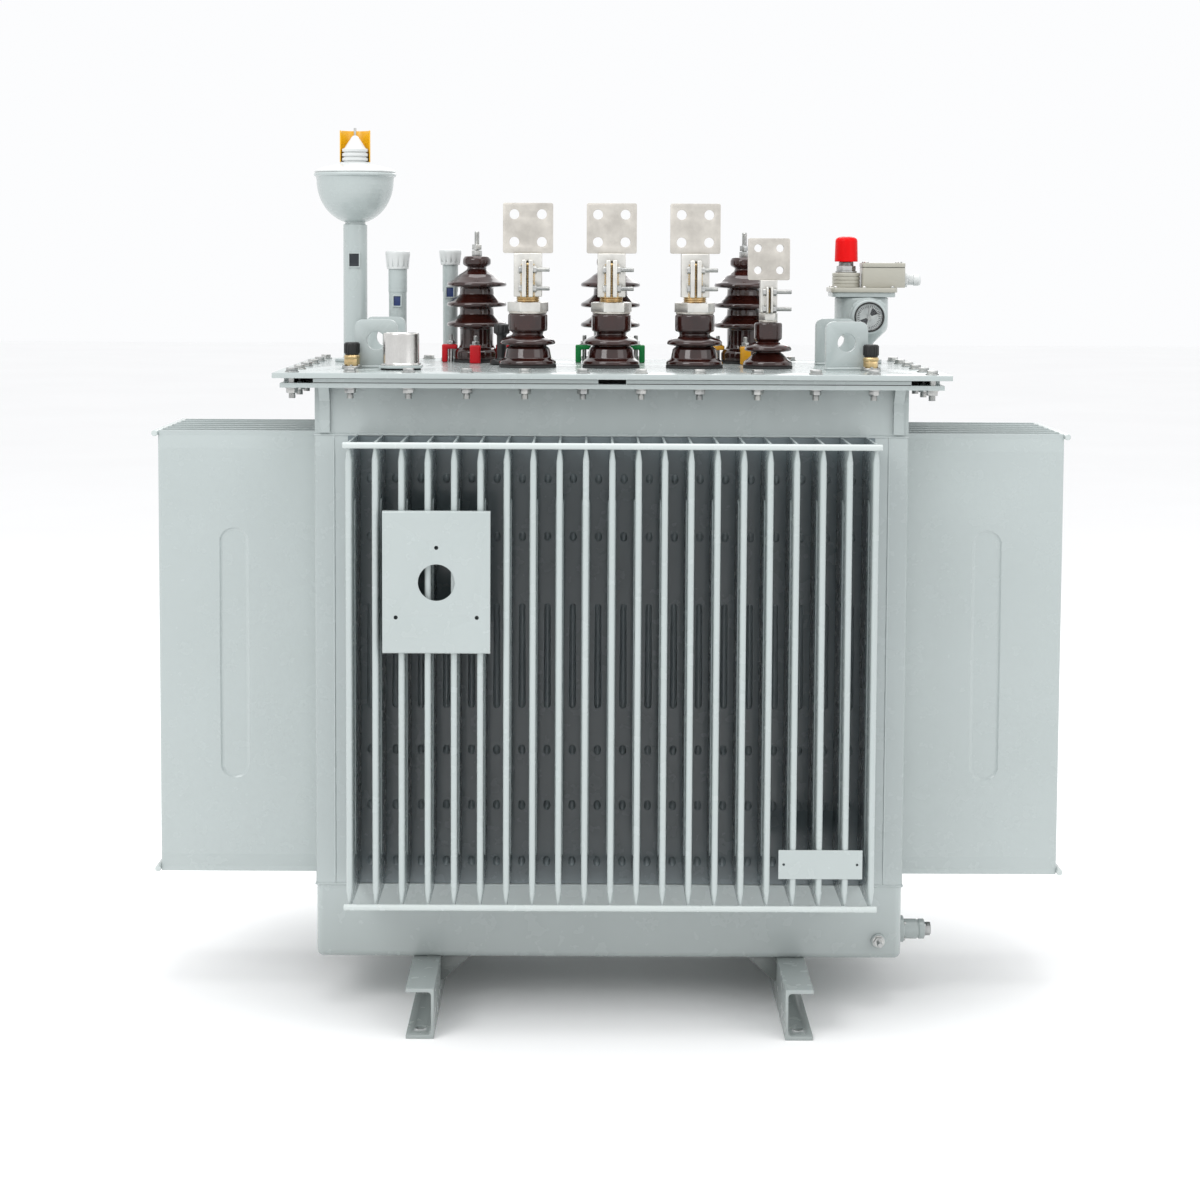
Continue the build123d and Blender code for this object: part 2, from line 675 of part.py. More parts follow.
def lv_row():
    """Three phase bushings and the smaller neutral, with their metal parts."""
    lv_nut_foot = LID_TOP + LV_DRUM_TOP
    lv_clamp_foot = lv_nut_foot + WASHER_THICKNESS + LV_NUT_HEIGHT + LV_THREAD_SHOWN
    n_nut_foot = LID_TOP + NEUTRAL_DRUM_TOP
    n_clamp_foot = n_nut_foot + WASHER_THICKNESS + NEUTRAL_NUT_HEIGHT
    porcelain = lv_insulator(LV_STUD_RADIUS, LV_DRUM_RADIUS, LV_SHED_RADIUS, LV_BASE_RADIUS,
                             LV_SLEEVE_RADIUS, LV_SHED_HEIGHT, LV_DRUM_FOOT, LV_DRUM_TOP)
    terminal = lv_terminal(LV_STUD_RADIUS, LV_CLAMP_WIDTH, LV_CLAMP_HEIGHT, LV_FLAG,
                           LV_FLAG_HOLE, LV_FLAG_PITCH, lv_clamp_foot)
    screws = pinch_screws(LV_CLAMP_WIDTH, LV_CLAMP_HEIGHT, lv_clamp_foot)
    covered = CLAMP_CROWN + STUD_TO_CROWN
    stud = lv_stud(LV_STUD_RADIUS, lv_clamp_foot + LV_CLAMP_HEIGHT - covered)
    nut = stud_nut(LV_STUD_RADIUS, LV_NUT, lv_nut_foot, LV_NUT_HEIGHT)
    gasket = seat_gasket(LV_BASE_RADIUS, LV_SLEEVE_RADIUS)
    n_porcelain = lv_insulator(NEUTRAL_STUD_RADIUS, NEUTRAL_DRUM_RADIUS, NEUTRAL_SHED_RADIUS,
                               NEUTRAL_BASE_RADIUS, NEUTRAL_SLEEVE_RADIUS, NEUTRAL_SHED_HEIGHT,
                               NEUTRAL_DRUM_FOOT, NEUTRAL_DRUM_TOP)
    n_terminal = lv_terminal(NEUTRAL_STUD_RADIUS, NEUTRAL_CLAMP_WIDTH, NEUTRAL_CLAMP_HEIGHT, NEUTRAL_FLAG,
                             NEUTRAL_FLAG_HOLE, NEUTRAL_FLAG_PITCH, n_clamp_foot)
    n_screws = pinch_screws(NEUTRAL_CLAMP_WIDTH, NEUTRAL_CLAMP_HEIGHT, n_clamp_foot)
    n_stud = lv_stud(NEUTRAL_STUD_RADIUS, n_clamp_foot + NEUTRAL_CLAMP_HEIGHT - covered)
    n_nut = stud_nut(NEUTRAL_STUD_RADIUS, NEUTRAL_NUT, n_nut_foot, NEUTRAL_NUT_HEIGHT)
    n_gasket = seat_gasket(NEUTRAL_BASE_RADIUS, NEUTRAL_SLEEVE_RADIUS)
    places = [Pos(i * LV_PITCH, LV_Y, 0) for i in PHASES]
    neutral = Pos(NEUTRAL_X, LV_Y, 0)
    save("lv_porcelain", *[p * porcelain for p in places], neutral * n_porcelain)
    save("lv_terminals", *[p * terminal for p in places], neutral * n_terminal)
    save("lv_studs", *[p * stud for p in places], neutral * n_stud)
    all_screws = [p * screw for p in places for screw in screws] + [neutral * s for s in n_screws]
    save("terminal_screws", *all_screws)
    nuts = [p * nut for p in places] + [neutral * n_nut]
    gaskets = [p * gasket for p in places] + [neutral * n_gasket]
    return nuts, gaskets


# --- high-voltage bushings ---------------------------------------------------------------------
def hv_insulator():
    bore = HV_STUD_RADIUS + LV_BORE_CLEARANCE
    outline = [
        (bore, LID_UNDER - HV_SLEEVE_LENGTH), (HV_SLEEVE_RADIUS, LID_UNDER - HV_SLEEVE_LENGTH),
        (HV_SLEEVE_RADIUS, SEAT), (HV_BASE_RADIUS, SEAT), (HV_BASE_RADIUS, SEAT + HV_BASE_THICKNESS),
        (HV_BASE_RADIUS - CLAW_GRIP - 1, SEAT + HV_BASE_THICKNESS),
        (HV_BODY_RADIUS, SEAT + HV_BASE_THICKNESS + 8),
    ]
    for height in HV_SHED_HEIGHTS:
        z = SEAT + height
        outline += [(HV_BODY_RADIUS, z - 9), (HV_SHED_RADIUS, z - 4)]
        outline += [(HV_SHED_RADIUS, z), (HV_BODY_RADIUS, z + 10)]
    top = SEAT + HV_PORCELAIN_HEIGHT
    knob = top - HV_KNOB_HEIGHT
    outline += [(HV_NECK_RADIUS, knob - 3), (HV_NECK_RADIUS, knob), (HV_KNOB_RADIUS, knob + 3)]
    outline += [(HV_KNOB_RADIUS, top - 4), (HV_NECK_RADIUS, top), (bore, top)]
    return turned(outline)


def claw_profile():
    """Radius and height points of one claw that reaches over the porcelain's foot."""
    grip = SEAT + HV_BASE_THICKNESS
    inner = HV_BASE_RADIUS - CLAW_GRIP
    foot = HV_BASE_RADIUS + 2 * CLAW_BOLT_GAP
    outer = foot + CLAW_LEG
    return [
        (foot, LID_TOP), (outer, LID_TOP), (outer, grip + CLAW_ARM), (inner, grip + CLAW_ARM),
        (inner, grip), (foot, grip),
    ]


def claws():
    """Four claws and their bolts round one bushing on the Z axis."""
    bolt_r = HV_BASE_RADIUS + CLAW_BOLT_GAP
    top = SEAT + HV_BASE_THICKNESS + CLAW_ARM
    profile = make_face(Polyline(*[(r, -CLAW_WIDTH / 2, z) for r, z in claw_profile()], close=True))
    claw = extrude(profile, CLAW_WIDTH, dir=(0, 1, 0))
    claw -= post(CLAW_BOLT_DIAMETER / 2 + MOVING_GAP, bolt_r, 0, (LID_TOP, top))
    bolt = post(CLAW_BOLT_DIAMETER / 2, bolt_r, 0, (LID_TOP, top + HEX_DEPTH + CLAW_BOLT_TIP))
    bolt += Pos(bolt_r, 0, top) * hexagon(CLAW_NUT, HEX_DEPTH)
    turns = [Rot(0, 0, i * 360 / CLAWS_PER_BUSHING) for i in range(CLAWS_PER_BUSHING)]
    return [turn * claw for turn in turns], [turn * bolt for turn in turns]


def hv_row():
    top = SEAT + HV_PORCELAIN_HEIGHT
    porcelain = hv_insulator()
    nut_top = top + HV_NUT_HEIGHT
    stud = post(HV_STUD_RADIUS, 0, 0, (LID_UNDER - HV_STUD_TAIL, nut_top))
    stud += post(HV_TIP_RADIUS, 0, 0, (nut_top, nut_top + HV_STUD_TIP))
    nut = Pos(0, 0, top) * hexagon(HV_NUT, HV_NUT_HEIGHT)
    nut -= post(HV_STUD_RADIUS + RUNNING_FIT, 0, 0, (top, nut_top))
    gasket = seat_gasket(HV_BASE_RADIUS, HV_SLEEVE_RADIUS)
    claw_set, bolt_set = claws()
    places = [Pos(i * HV_PITCH, HV_Y, 0) for i in PHASES]
    save("hv_porcelain", *[p * porcelain for p in places])
    save("hv_studs", *[p * stud for p in places])
    for colour, place in zip(("red", "green", "yellow"), places):
        save("hv_claws_" + colour, *[place * claw for claw in claw_set])
    save("hv_clamp_bolts", *[place * bolt for place in places for bolt in bolt_set])
    return [p * nut for p in places], [p * gasket for p in places]


# --- oil-level vent ----------------------------------------------------------------------------
def vent_pot():
    """A stem pipe with a sight window, and the hollow bowl that it opens into."""
    foot = LID_TOP
    neck = foot + STEM_HEIGHT
    lip = neck + BOWL_HEIGHT
    inner = STEM_RADIUS - STEM_WALL
    knee = neck + BOWL_HEIGHT * 0.45
    outline = [
        (inner, foot), (VENT_FOOT_RADIUS, foot), (VENT_FOOT_RADIUS, foot + VENT_FOOT_THICKNESS),
        (STEM_RADIUS, foot + VENT_FOOT_THICKNESS),
        (STEM_RADIUS, neck), (BOWL_RADIUS * 0.72, neck + BOWL_HEIGHT * 0.13), (BOWL_RADIUS - 4, knee),
        (BOWL_RADIUS, lip - LIP_THICKNESS), (LIP_RADIUS, lip - LIP_THICKNESS), (LIP_RADIUS, lip),
        (BOWL_RADIUS - BOWL_WALL, lip), (BOWL_RADIUS - 4 - BOWL_WALL, knee + 2),
        (BOWL_RADIUS * 0.68, neck + BOWL_HEIGHT * 0.2), (inner, neck + 5),
    ]
    pot = Pos(VENT_X, VENT_Y, 0) * turned(outline)
    window = (foot + STEM_WINDOW_HEIGHT - STEM_WINDOW / 2, foot + STEM_WINDOW_HEIGHT + STEM_WINDOW / 2)
    half = STEM_WINDOW_WIDTH / 2
    return pot - block((VENT_X - half, VENT_X + half), (VENT_Y - STEM_RADIUS - 1, VENT_Y), window)


def vent_levels():
    """Heights of the lid's rim, its crown, the top of its rings and the tip of its cone."""
    rim = LID_TOP + STEM_HEIGHT + BOWL_HEIGHT
    crown = rim + VENT_LID_RISE + VENT_LID_CROWN
    rings_top = crown + VENT_RINGS * VENT_RING_PITCH
    return rim, crown, rings_top, rings_top + VENT_CONE_HEIGHT


def vent_lid():
    """A shallow dome that carries a ringed stack with a cone on it, bored for the tell-tale pin."""
    rim, crown, rings_top, tip = vent_levels()
    bore = VENT_PIN_RADIUS + RUNNING_FIT
    groove = VENT_STACK_RADIUS - VENT_RING_GROOVE
    outline = [(bore, rim), (LIP_RADIUS, rim), (LIP_RADIUS, rim + 3)]
    seat = VENT_STACK_RADIUS + VENT_RING_GROOVE
    outline += [(seat, crown - 3), (seat, crown), (groove, crown)]
    for i in range(VENT_RINGS):
        z = crown + i * VENT_RING_PITCH
        outline += [(groove, z + 2), (VENT_STACK_RADIUS, z + 2.5)]
        outline += [(VENT_STACK_RADIUS, z + VENT_RING_PITCH - 0.5), (groove, z + VENT_RING_PITCH)]
    outline += [(VENT_CONE_TIP, tip), (bore, tip)]
    return Pos(VENT_X, VENT_Y, 0) * turned(outline)


def vent_guard():
    """A half shell behind the stack."""
    _, crown, _, _ = vent_levels()
    z = (crown, crown + GUARD_HEIGHT)
    shell = post(GUARD_RADIUS, 0, 0, z) - post(GUARD_RADIUS - GUARD_WALL, 0, 0, z)
    shell -= block((-GUARD_RADIUS, GUARD_RADIUS), (-GUARD_RADIUS, GUARD_FRONT), z)
    return Pos(VENT_X, VENT_Y, 0) * shell


def vent_pin():
    _, _, _, tip = vent_levels()
    return post(VENT_PIN_RADIUS, VENT_X, VENT_Y, (tip - VENT_PIN_LENGTH, tip + VENT_PIN_TIP))


def level_float():
    middle = LID_TOP + STEM_WINDOW_HEIGHT
    radius = STEM_RADIUS - STEM_WALL - FLOAT_CLEARANCE
    return post(radius, VENT_X, VENT_Y, (middle - FLOAT_HEIGHT / 2, middle + FLOAT_HEIGHT / 2))


# --- filler pipes ------------------------------------------------------------------------------
def filler(x, y, radius, cap_radius, cap_height, cap_top):
    """An open pipe with a foot ring, and the screw cap over its mouth."""
    mouth = LID_TOP + cap_top - CAP_CROWN
    pipe = post(radius, x, y, (LID_TOP, mouth))
    pipe += post(radius + PIPE_FOOT_RING, x, y, (LID_TOP, LID_TOP + PIPE_FOOT_HEIGHT))
    pipe -= post(radius - PIPE_WALL, x, y, (LID_TOP, mouth))
    cap = post(cap_radius, x, y, (LID_TOP + cap_top - cap_height, LID_TOP + cap_top))
    cap -= post(radius + CAP_FIT, x, y, (LID_TOP + cap_top - cap_height, mouth + CAP_FIT))
    return pipe, cap


# --- relief valve ------------------------------------------------------------------------------
def relief_cup():
    """A square foot plate with the oil port, and a round cup over it."""
    half = RELIEF_PLATE / 2
    top = RELIEF_PLATE_THICKNESS + RELIEF_CUP_HEIGHT
    body = block((-half, half), (-half, half), (0, RELIEF_PLATE_THICKNESS))
    body = fillet(body.edges().filter_by(Axis.Z), RELIEF_PLATE_CORNER)
    cup = post(RELIEF_CUP_RADIUS, 0, 0, (RELIEF_PLATE_THICKNESS, top))
    cup -= post(RELIEF_CUP_RADIUS - RELIEF_CUP_WALL, 0, 0, (RELIEF_PLATE_THICKNESS, top - RELIEF_CUP_WALL))
    body += cup
    body -= post(RELIEF_PORT_RADIUS, 0, 0, (0, RELIEF_PLATE_THICKNESS))
    return Pos(RELIEF_X, RELIEF_Y, LID_TOP) * body


def relief_valve():
    """The disc that closes the port, with its guide stem."""
    foot = RELIEF_PLATE_THICKNESS
    disc_top = foot + RELIEF_DISC_THICKNESS
    disc = post(RELIEF_DISC_RADIUS, 0, 0, (foot, disc_top))
    stem = post(RELIEF_STEM_RADIUS, 0, 0, (disc_top, disc_top + RELIEF_STEM_HEIGHT))
    return Pos(RELIEF_X, RELIEF_Y, LID_TOP) * (disc + stem)


# --- thermometer pockets -----------------------------------------------------------------------
def pocket(x):
    """A brass fitting with its closed tube down into the oil, and its screw cap."""
    top = LID_TOP + POCKET_HEIGHT
    body = post(POCKET_PLATE_RADIUS, x, POCKET_Y, (LID_TOP, LID_TOP + POCKET_PLATE_THICKNESS))
    body += post(POCKET_RADIUS, x, POCKET_Y, (LID_TOP, top))
    tube_foot = LID_TOP - POCKET_TUBE_DEPTH
    spigot_top = top + POCKET_SPIGOT_HEIGHT
    body += post(POCKET_SPIGOT_RADIUS - 1, x, POCKET_Y, (tube_foot, LID_TOP))
    body += post(POCKET_SPIGOT_RADIUS, x, POCKET_Y, (top, spigot_top))
    bore = POCKET_SPIGOT_RADIUS - POCKET_TUBE_WALL
    body -= post(bore, x, POCKET_Y, (tube_foot + POCKET_TUBE_WALL, spigot_top))
    cap = post(POCKET_RADIUS, x, POCKET_Y, (top, top + POCKET_CAP_HEIGHT))
    cap -= post(POCKET_SPIGOT_RADIUS + CAP_FIT, x, POCKET_Y, (top, spigot_top + CAP_FIT))
    return body, cap


# --- protection relay --------------------------------------------------------------------------
def relay_body():
    """The relay casting: foot ring, pipe, float chamber, deck, ring stack and cap neck."""
    deck = LID_TOP + RELAY_BODY_TOP
    deck_top = deck + RELAY_DECK_THICKNESS
    foot = LID_TOP + RELAY_BODY_FOOT
    outline = [
        (0, LID_TOP), (RELAY_FOOT_RADIUS, LID_TOP), (RELAY_FOOT_RADIUS, LID_TOP + RELAY_FOOT_THICKNESS),
        (RELAY_PIPE_RADIUS, LID_TOP + RELAY_FOOT_THICKNESS), (RELAY_PIPE_RADIUS, LID_TOP + RELAY_PIPE_TOP),
        (RELAY_RADIUS, foot), (RELAY_RADIUS, deck), (0, deck),
    ]
    body = Pos(RELAY_X, RELAY_Y, 0) * turned(outline)
    half = RELAY_DECK / 2
    depth = RELAY_DECK_DEPTH / 2
    plate = block((RELAY_X - half, RELAY_X + half), (RELAY_Y - depth, RELAY_Y + depth), (deck, deck_top))
    body += fillet(plate.edges().filter_by(Axis.Z), RELAY_DECK_CORNER)
    dial_back = RELAY_Y - RELAY_RADIUS - DIAL_STANDOFF
    body += bar_y(DIAL_RADIUS, DIAL_X, (dial_back, RELAY_Y), LID_TOP + DIAL_HEIGHT)
    stack_top = deck_top + STACK_HEIGHT
    neck_top = stack_top + RELAY_NECK_HEIGHT
    body += post(STACK_RADIUS, STACK_X, RELAY_Y, (deck_top, stack_top))
    body += post(RELAY_NECK_RADIUS, STACK_X, RELAY_Y, (stack_top, neck_top))
    body += post(RELAY_SPIGOT_RADIUS, STACK_X, RELAY_Y, (neck_top, neck_top + RELAY_SPIGOT_HEIGHT))
    return body


def relay_dial():
    """The bezel and dial face, with a sunk face for the pointer."""
    back = RELAY_Y - RELAY_RADIUS - DIAL_STANDOFF
    front = back - DIAL_THICKNESS
    z = LID_TOP + DIAL_HEIGHT
    dial = bar_y(DIAL_RADIUS, DIAL_X, (front, back), z)
    dial -= bar_y(DIAL_FACE_RADIUS, DIAL_X, (front, front + DIAL_RECESS), z)
    return dial - bar_y(POINTER_PIN_RADIUS + RUNNING_FIT, DIAL_X, (front, back), z)


def relay_pointer():
    back = RELAY_Y - RELAY_RADIUS - DIAL_STANDOFF
    face = back - DIAL_THICKNESS + DIAL_RECESS
    z = LID_TOP + DIAL_HEIGHT
    pin = bar_y(POINTER_PIN_RADIUS, DIAL_X, (face - 4, back - MOVING_GAP), z)
    hand = [(-2.5, -7), (2.5, -7), (1, POINTER_LENGTH), (-1, POINTER_LENGTH)]
    outline = [(DIAL_X + x, z + height) for x, height in hand]
    return pin + slab_xz(outline, (face - 1 - POINTER_THICKNESS, face - 1))


def relay_box():
    """The wiring box and, as a second piece, its cable gland."""
    deck_top = LID_TOP + RELAY_BODY_TOP + RELAY_DECK_THICKNESS
    length, depth, height = RELAY_BOX
    left = STACK_X + STACK_RADIUS + 2
    wide = (RELAY_Y - depth / 2, RELAY_Y + depth / 2)
    box = block((left, left + length), wide, (deck_top, deck_top + height))
    box = fillet(box.edges().filter_by(Axis.Y), 4)
    z = deck_top + height / 2 - GLAND_DROP
    right = left + length
    gland = bar_x(GLAND_RADIUS - 2, (right, right + GLAND_LENGTH), RELAY_Y, z)
    gland += Pos(right + 4, RELAY_Y, z) * Rot(0, 90, 0) * hexagon(2 * GLAND_RADIUS - 2, GLAND_LENGTH * 0.6)
    gland -= bar_x(GLAND_BORE / 2, (right, right + GLAND_LENGTH), RELAY_Y, z)
    return [box, gland]


def relay_cap():
    neck_top = LID_TOP + RELAY_BODY_TOP + RELAY_DECK_THICKNESS + STACK_HEIGHT + RELAY_NECK_HEIGHT
    cap = post(RELAY_CAP_RADIUS, STACK_X, RELAY_Y, (neck_top, neck_top + RELAY_CAP_HEIGHT))
    socket = (neck_top, neck_top + RELAY_SPIGOT_HEIGHT + CAP_FIT)
    return cap - post(RELAY_SPIGOT_RADIUS + CAP_FIT, STACK_X, RELAY_Y, socket)


# --- tap switch --------------------------------------------------------------------------------
def tap_teeth_profile():
    """Pinion outline: straight-flanked teeth, thinned by the backlash."""
    pitch_radius = TAP_MODULE * TAP_TEETH / 2
    root = pitch_radius - 1.25 * TAP_MODULE
    tip = pitch_radius + 0.9 * TAP_MODULE
    tooth = 2 * pi / TAP_TEETH
    root_half = tooth * 0.30
    tip_half = tooth * 0.10
    points = []
    for i in range(TAP_TEETH):
        middle = pi / 2 + i * tooth
        for radius, offset in ((root, -root_half), (tip, -tip_half), (tip, tip_half), (root, root_half)):
            angle = middle + offset
            points.append((radius * cos(angle), radius * sin(angle)))
    return points


def tap_shaft():
    low = LID_UNDER - TAP_DROP
    shaft = post(TAP_SHAFT_RADIUS, 0, 0, (low - TAP_GUIDE_WALL, LID_TOP + TAP_SKIRT_HEIGHT))
    outline = make_face(Polyline(*[(x, y, low + MOVING_GAP) for x, y in tap_teeth_profile()], close=True))
    pinion = extrude(outline, TAP_GEAR_WIDTH, dir=(0, 0, 1))
    return Pos(TAP_X, TAP_Y, 0) * (shaft + pinion)


def tap_knob():
    """A round knob on a stem, with a skirt against the lid."""
    low = LID_TOP + MOVING_GAP
    skirt = post(TAP_SKIRT_RADIUS, 0, 0, (low, LID_TOP + TAP_SKIRT_HEIGHT))
    grip = LID_TOP + TAP_KNOB_HEIGHT
    stem = post(TAP_STEM_RADIUS, 0, 0, (low, grip))
    knob = post(TAP_KNOB_RADIUS, 0, 0, (grip, grip + TAP_KNOB_GRIP))
    socket = post(TAP_SHAFT_RADIUS, 0, 0, (low, LID_TOP + TAP_SKIRT_HEIGHT))
    return Pos(TAP_X, TAP_Y, 0) * (skirt + stem + knob - socket)


def tap_bar():
    """The rack bar that carries the moving contacts."""
    low = LID_UNDER - TAP_DROP + MOVING_GAP
    pitch = pi * TAP_MODULE
    line = TAP_MODULE * TAP_TEETH / 2
    root = line + 1.25 * TAP_MODULE
    tip = line - 0.8 * TAP_MODULE
    lean = (root - tip) * tan(radians(20))
    flat = pitch / 2 - lean - BACKLASH
    half = TAP_BAR_LENGTH / 2
    count = int(half / pitch)
    points = [(-half, root + TAP_BAR_DEPTH), (-half, root)]
    for i in range(-count, count):
        middle = (i + 0.5) * pitch
        points += [
            (middle - flat / 2 - lean, root), (middle - flat / 2, tip),
            (middle + flat / 2, tip), (middle + flat / 2 + lean, root),
        ]
    points += [(half, root), (half, root + TAP_BAR_DEPTH)]
    outline = make_face(Polyline(*[(x, y, low) for x, y in points], close=True))
    return Pos(TAP_X, TAP_Y, 0) * extrude(outline, TAP_GEAR_WIDTH, dir=(0, 0, 1))


def tap_switch():
    """The insulating guide under the lid: a floor, a back rail and two hangers."""
    low = LID_UNDER - TAP_DROP
    line = TAP_MODULE * TAP_TEETH / 2
    back = line + 1.25 * TAP_MODULE + TAP_BAR_DEPTH + MOVING_GAP
    reach = TAP_BAR_LENGTH / 2 + TAP_TRAVEL + TAP_GUIDE_SPARE
    wall = TAP_GUIDE_WALL
    body = block((-reach, reach), (-wall - TAP_SHAFT_RADIUS, back + wall), (low - wall, low))
    body += block((-reach, reach), (back, back + wall), (low, low + TAP_GEAR_WIDTH + wall))
    for end in (-1, 1):
        x = sorted((end * reach, end * (reach - wall)))
        body += block(x, (back, back + wall), (low, LID_UNDER))
    body -= post(TAP_SHAFT_RADIUS + RUNNING_FIT, 0, 0, (low - wall, low))
    return Pos(TAP_X, TAP_Y, 0) * body


# --- plates and fittings on the tank -----------------------------------------------------------
def instrument_plate():
    """A plate on the fin tips for a dial thermometer, its top and bottom edges folded back."""
    half = GAUGE_PLATE_WIDTH / 2
    x = (GAUGE_PLATE_X - half, GAUGE_PLATE_X + half)
    low = GAUGE_PLATE_Z - GAUGE_PLATE_HEIGHT / 2
    high = GAUGE_PLATE_Z + GAUGE_PLATE_HEIGHT / 2
    front = -FRONT_TIP - GAUGE_PLATE_STANDOFF
    face = (front, front + GAUGE_PLATE_THICKNESS)
    plate = block(x, face, (low, high))
    plate += block(x, (front, -FRONT_TIP), (low, low + GAUGE_PLATE_THICKNESS))
    plate += block(x, (front, -FRONT_TIP), (high - GAUGE_PLATE_THICKNESS, high))
    plate -= bar_y(GAUGE_HOLE_DIAMETER / 2, GAUGE_PLATE_X, face, GAUGE_PLATE_Z)
    for i in range(3):
        angle = radians(90 + 120 * i)
        hole_x = GAUGE_PLATE_X + GAUGE_SCREW_CIRCLE / 2 * cos(angle)
        hole_z = GAUGE_PLATE_Z - GAUGE_SCREW_DROP + GAUGE_SCREW_CIRCLE / 2 * sin(angle)
        plate -= bar_y(GAUGE_SCREW_HOLE / 2, hole_x, face, hole_z)
    return plate


def nameplate():
    """A blank plate across the fin tips."""
    width, height = NAMEPLATE
    y = (-FRONT_TIP - NAMEPLATE_THICKNESS, -FRONT_TIP)
    x = (NAMEPLATE_X - width / 2, NAMEPLATE_X + width / 2)
    plate = block(x, y, (NAMEPLATE_Z - height / 2, NAMEPLATE_Z + height / 2))
    for side in (-1, 1):
        hole_x = NAMEPLATE_X + side * (width / 2 - NAMEPLATE_HOLE_INSET)
        plate -= bar_y(NAMEPLATE_HOLE / 2, hole_x, y, NAMEPLATE_Z)
    return plate


def earth_terminal():
    """A stud through the wall with a pad, a washer and a nut."""
    face = -HALF_D
    radius = EARTH_BOLT_DIAMETER / 2
    stud = bar_y(radius - RUNNING_FIT, EARTH_X, (face - EARTH_BOLT_LENGTH, face + TANK_WALL), EARTH_Z)
    pad = bar_y(EARTH_PAD_RADIUS, EARTH_X, (face - EARTH_PAD_THICKNESS, face), EARTH_Z)
    nut = Rot(90, 0, 0) * hexagon(EARTH_NUT, EARTH_NUT_THICKNESS)
    nut = Pos(EARTH_X, face - EARTH_PAD_THICKNESS, EARTH_Z) * nut
    return stud + pad + nut


def drain_valve():
    """Gasket, flange and body of the drain, bored for its plug."""
    wall = HALF_L
    gasket_end = wall + DRAIN_GASKET
    flange_end = gasket_end + DRAIN_FLANGE_THICKNESS
    end = flange_end + DRAIN_BODY_LENGTH
    bore = DRAIN_PLUG_RADIUS + RUNNING_FIT
    gasket = bar_x(DRAIN_FLANGE_RADIUS, (wall, gasket_end), DRAIN_Y, DRAIN_Z)
    body = bar_x(DRAIN_FLANGE_RADIUS, (gasket_end, flange_end), DRAIN_Y, DRAIN_Z)
    body += bar_x(DRAIN_BODY_RADIUS, (flange_end, end), DRAIN_Y, DRAIN_Z)
    return [
        gasket - bar_x(bore, (wall, gasket_end), DRAIN_Y, DRAIN_Z),
        body - bar_x(bore, (gasket_end, end), DRAIN_Y, DRAIN_Z),
    ]


def drain_plug():
    end = HALF_L + DRAIN_GASKET + DRAIN_FLANGE_THICKNESS + DRAIN_BODY_LENGTH
    plug = bar_x(DRAIN_PLUG_RADIUS, (end - DRAIN_PLUG_DEPTH, end), DRAIN_Y, DRAIN_Z)
    head = Pos(end, DRAIN_Y, DRAIN_Z) * Rot(0, 90, 0) * hexagon(DRAIN_PLUG_HEAD, DRAIN_PLUG_HEAD_LENGTH)
    return plug + head


# --- core and windings -------------------------------------------------------------------------
def core_levels():
    low = SKID_HEIGHT + BASE_FLOOR + CORE_FLOOR_GAP
    window = low + YOKE_HEIGHT
    return low, window, window + WINDOW_HEIGHT, window + WINDOW_HEIGHT + YOKE_HEIGHT


def core():
    low, window, window_top, top = core_levels()
    half = LIMB / 2
    reach = LIMB_PITCH + half
    iron = block((-reach, reach), (-half, half), (low, window))
    iron += block((-reach, reach), (-half, half), (window_top, top))
    for i in PHASES:
        x = i * LIMB_PITCH
        iron += block((x - half, x + half), (-half, half), (window, window_top))
    return iron


def core_clamps():
    """Angle bars along both faces of each yoke; the lower pair stands on the tank floor."""
    low, window, window_top, top = core_levels()
    half = LIMB / 2
    reach = LIMB_PITCH + half
    floor = SKID_HEIGHT + BASE_FLOOR
    bars = []
    for side in (-1, 1):
        web = sorted((side * half, side * (half + CLAMP_WALL)))
        ledge = sorted((side * half, side * (half + CLAMP_FLANGE)))
        lower = block((-reach, reach), web, (floor, window - COIL_END_GAP))
        lower += block((-reach, reach), ledge, (floor, floor + CLAMP_WALL))
        bars.append(lower)
        upper = block((-reach, reach), web, (window_top + COIL_END_GAP, top))
        upper += block((-reach, reach), ledge, (top - CLAMP_WALL, top))
        bars.append(upper)
    return bars


def coils(radii):
    _, window, window_top, _ = core_levels()
    z = (window + COIL_END_GAP, window_top - COIL_END_GAP)
    return [post(radii[1], i * LIMB_PITCH, 0, z) - post(radii[0], i * LIMB_PITCH, 0, z) for i in PHASES]


def winding_leads():
    """Flat bars from the low-voltage coils to their studs, and rods to the high-voltage studs."""
    _, _, window_top, _ = core_levels()
    coil_top = window_top - COIL_END_GAP
    wide, thick = LV_LEAD
    stud_foot = LID_UNDER - LV_STUD_TAIL
    leads = []
    lead_y = -(LV_COIL[0] + LV_COIL[1]) / 2
    for i in PHASES:
        rise_x = i * LIMB_PITCH
        y = (lead_y - thick / 2, lead_y + thick / 2)
        lead = block((rise_x - wide / 2, rise_x + wide / 2), y, (coil_top, stud_foot))
        run = (min(rise_x, i * LV_PITCH) - wide / 2, max(rise_x, i * LV_PITCH) + wide / 2)
        lead += block(run, (lead_y - thick / 2, LV_Y + wide / 2), (stud_foot - thick, stud_foot))
        leads.append(lead)
    radius = HV_LEAD_DIAMETER / 2
    hv_y = (HV_COIL[0] + HV_COIL[1]) / 2
    for i in PHASES:
        start = Vector(i * LIMB_PITCH, hv_y, coil_top + radius)
        end = Vector(i * HV_PITCH, HV_Y, LID_UNDER - HV_STUD_TAIL - radius)
        section = Plane(origin=start, z_dir=end - start) * Circle(radius)
        leads.append(extrude(section, (end - start).length))
    return leads


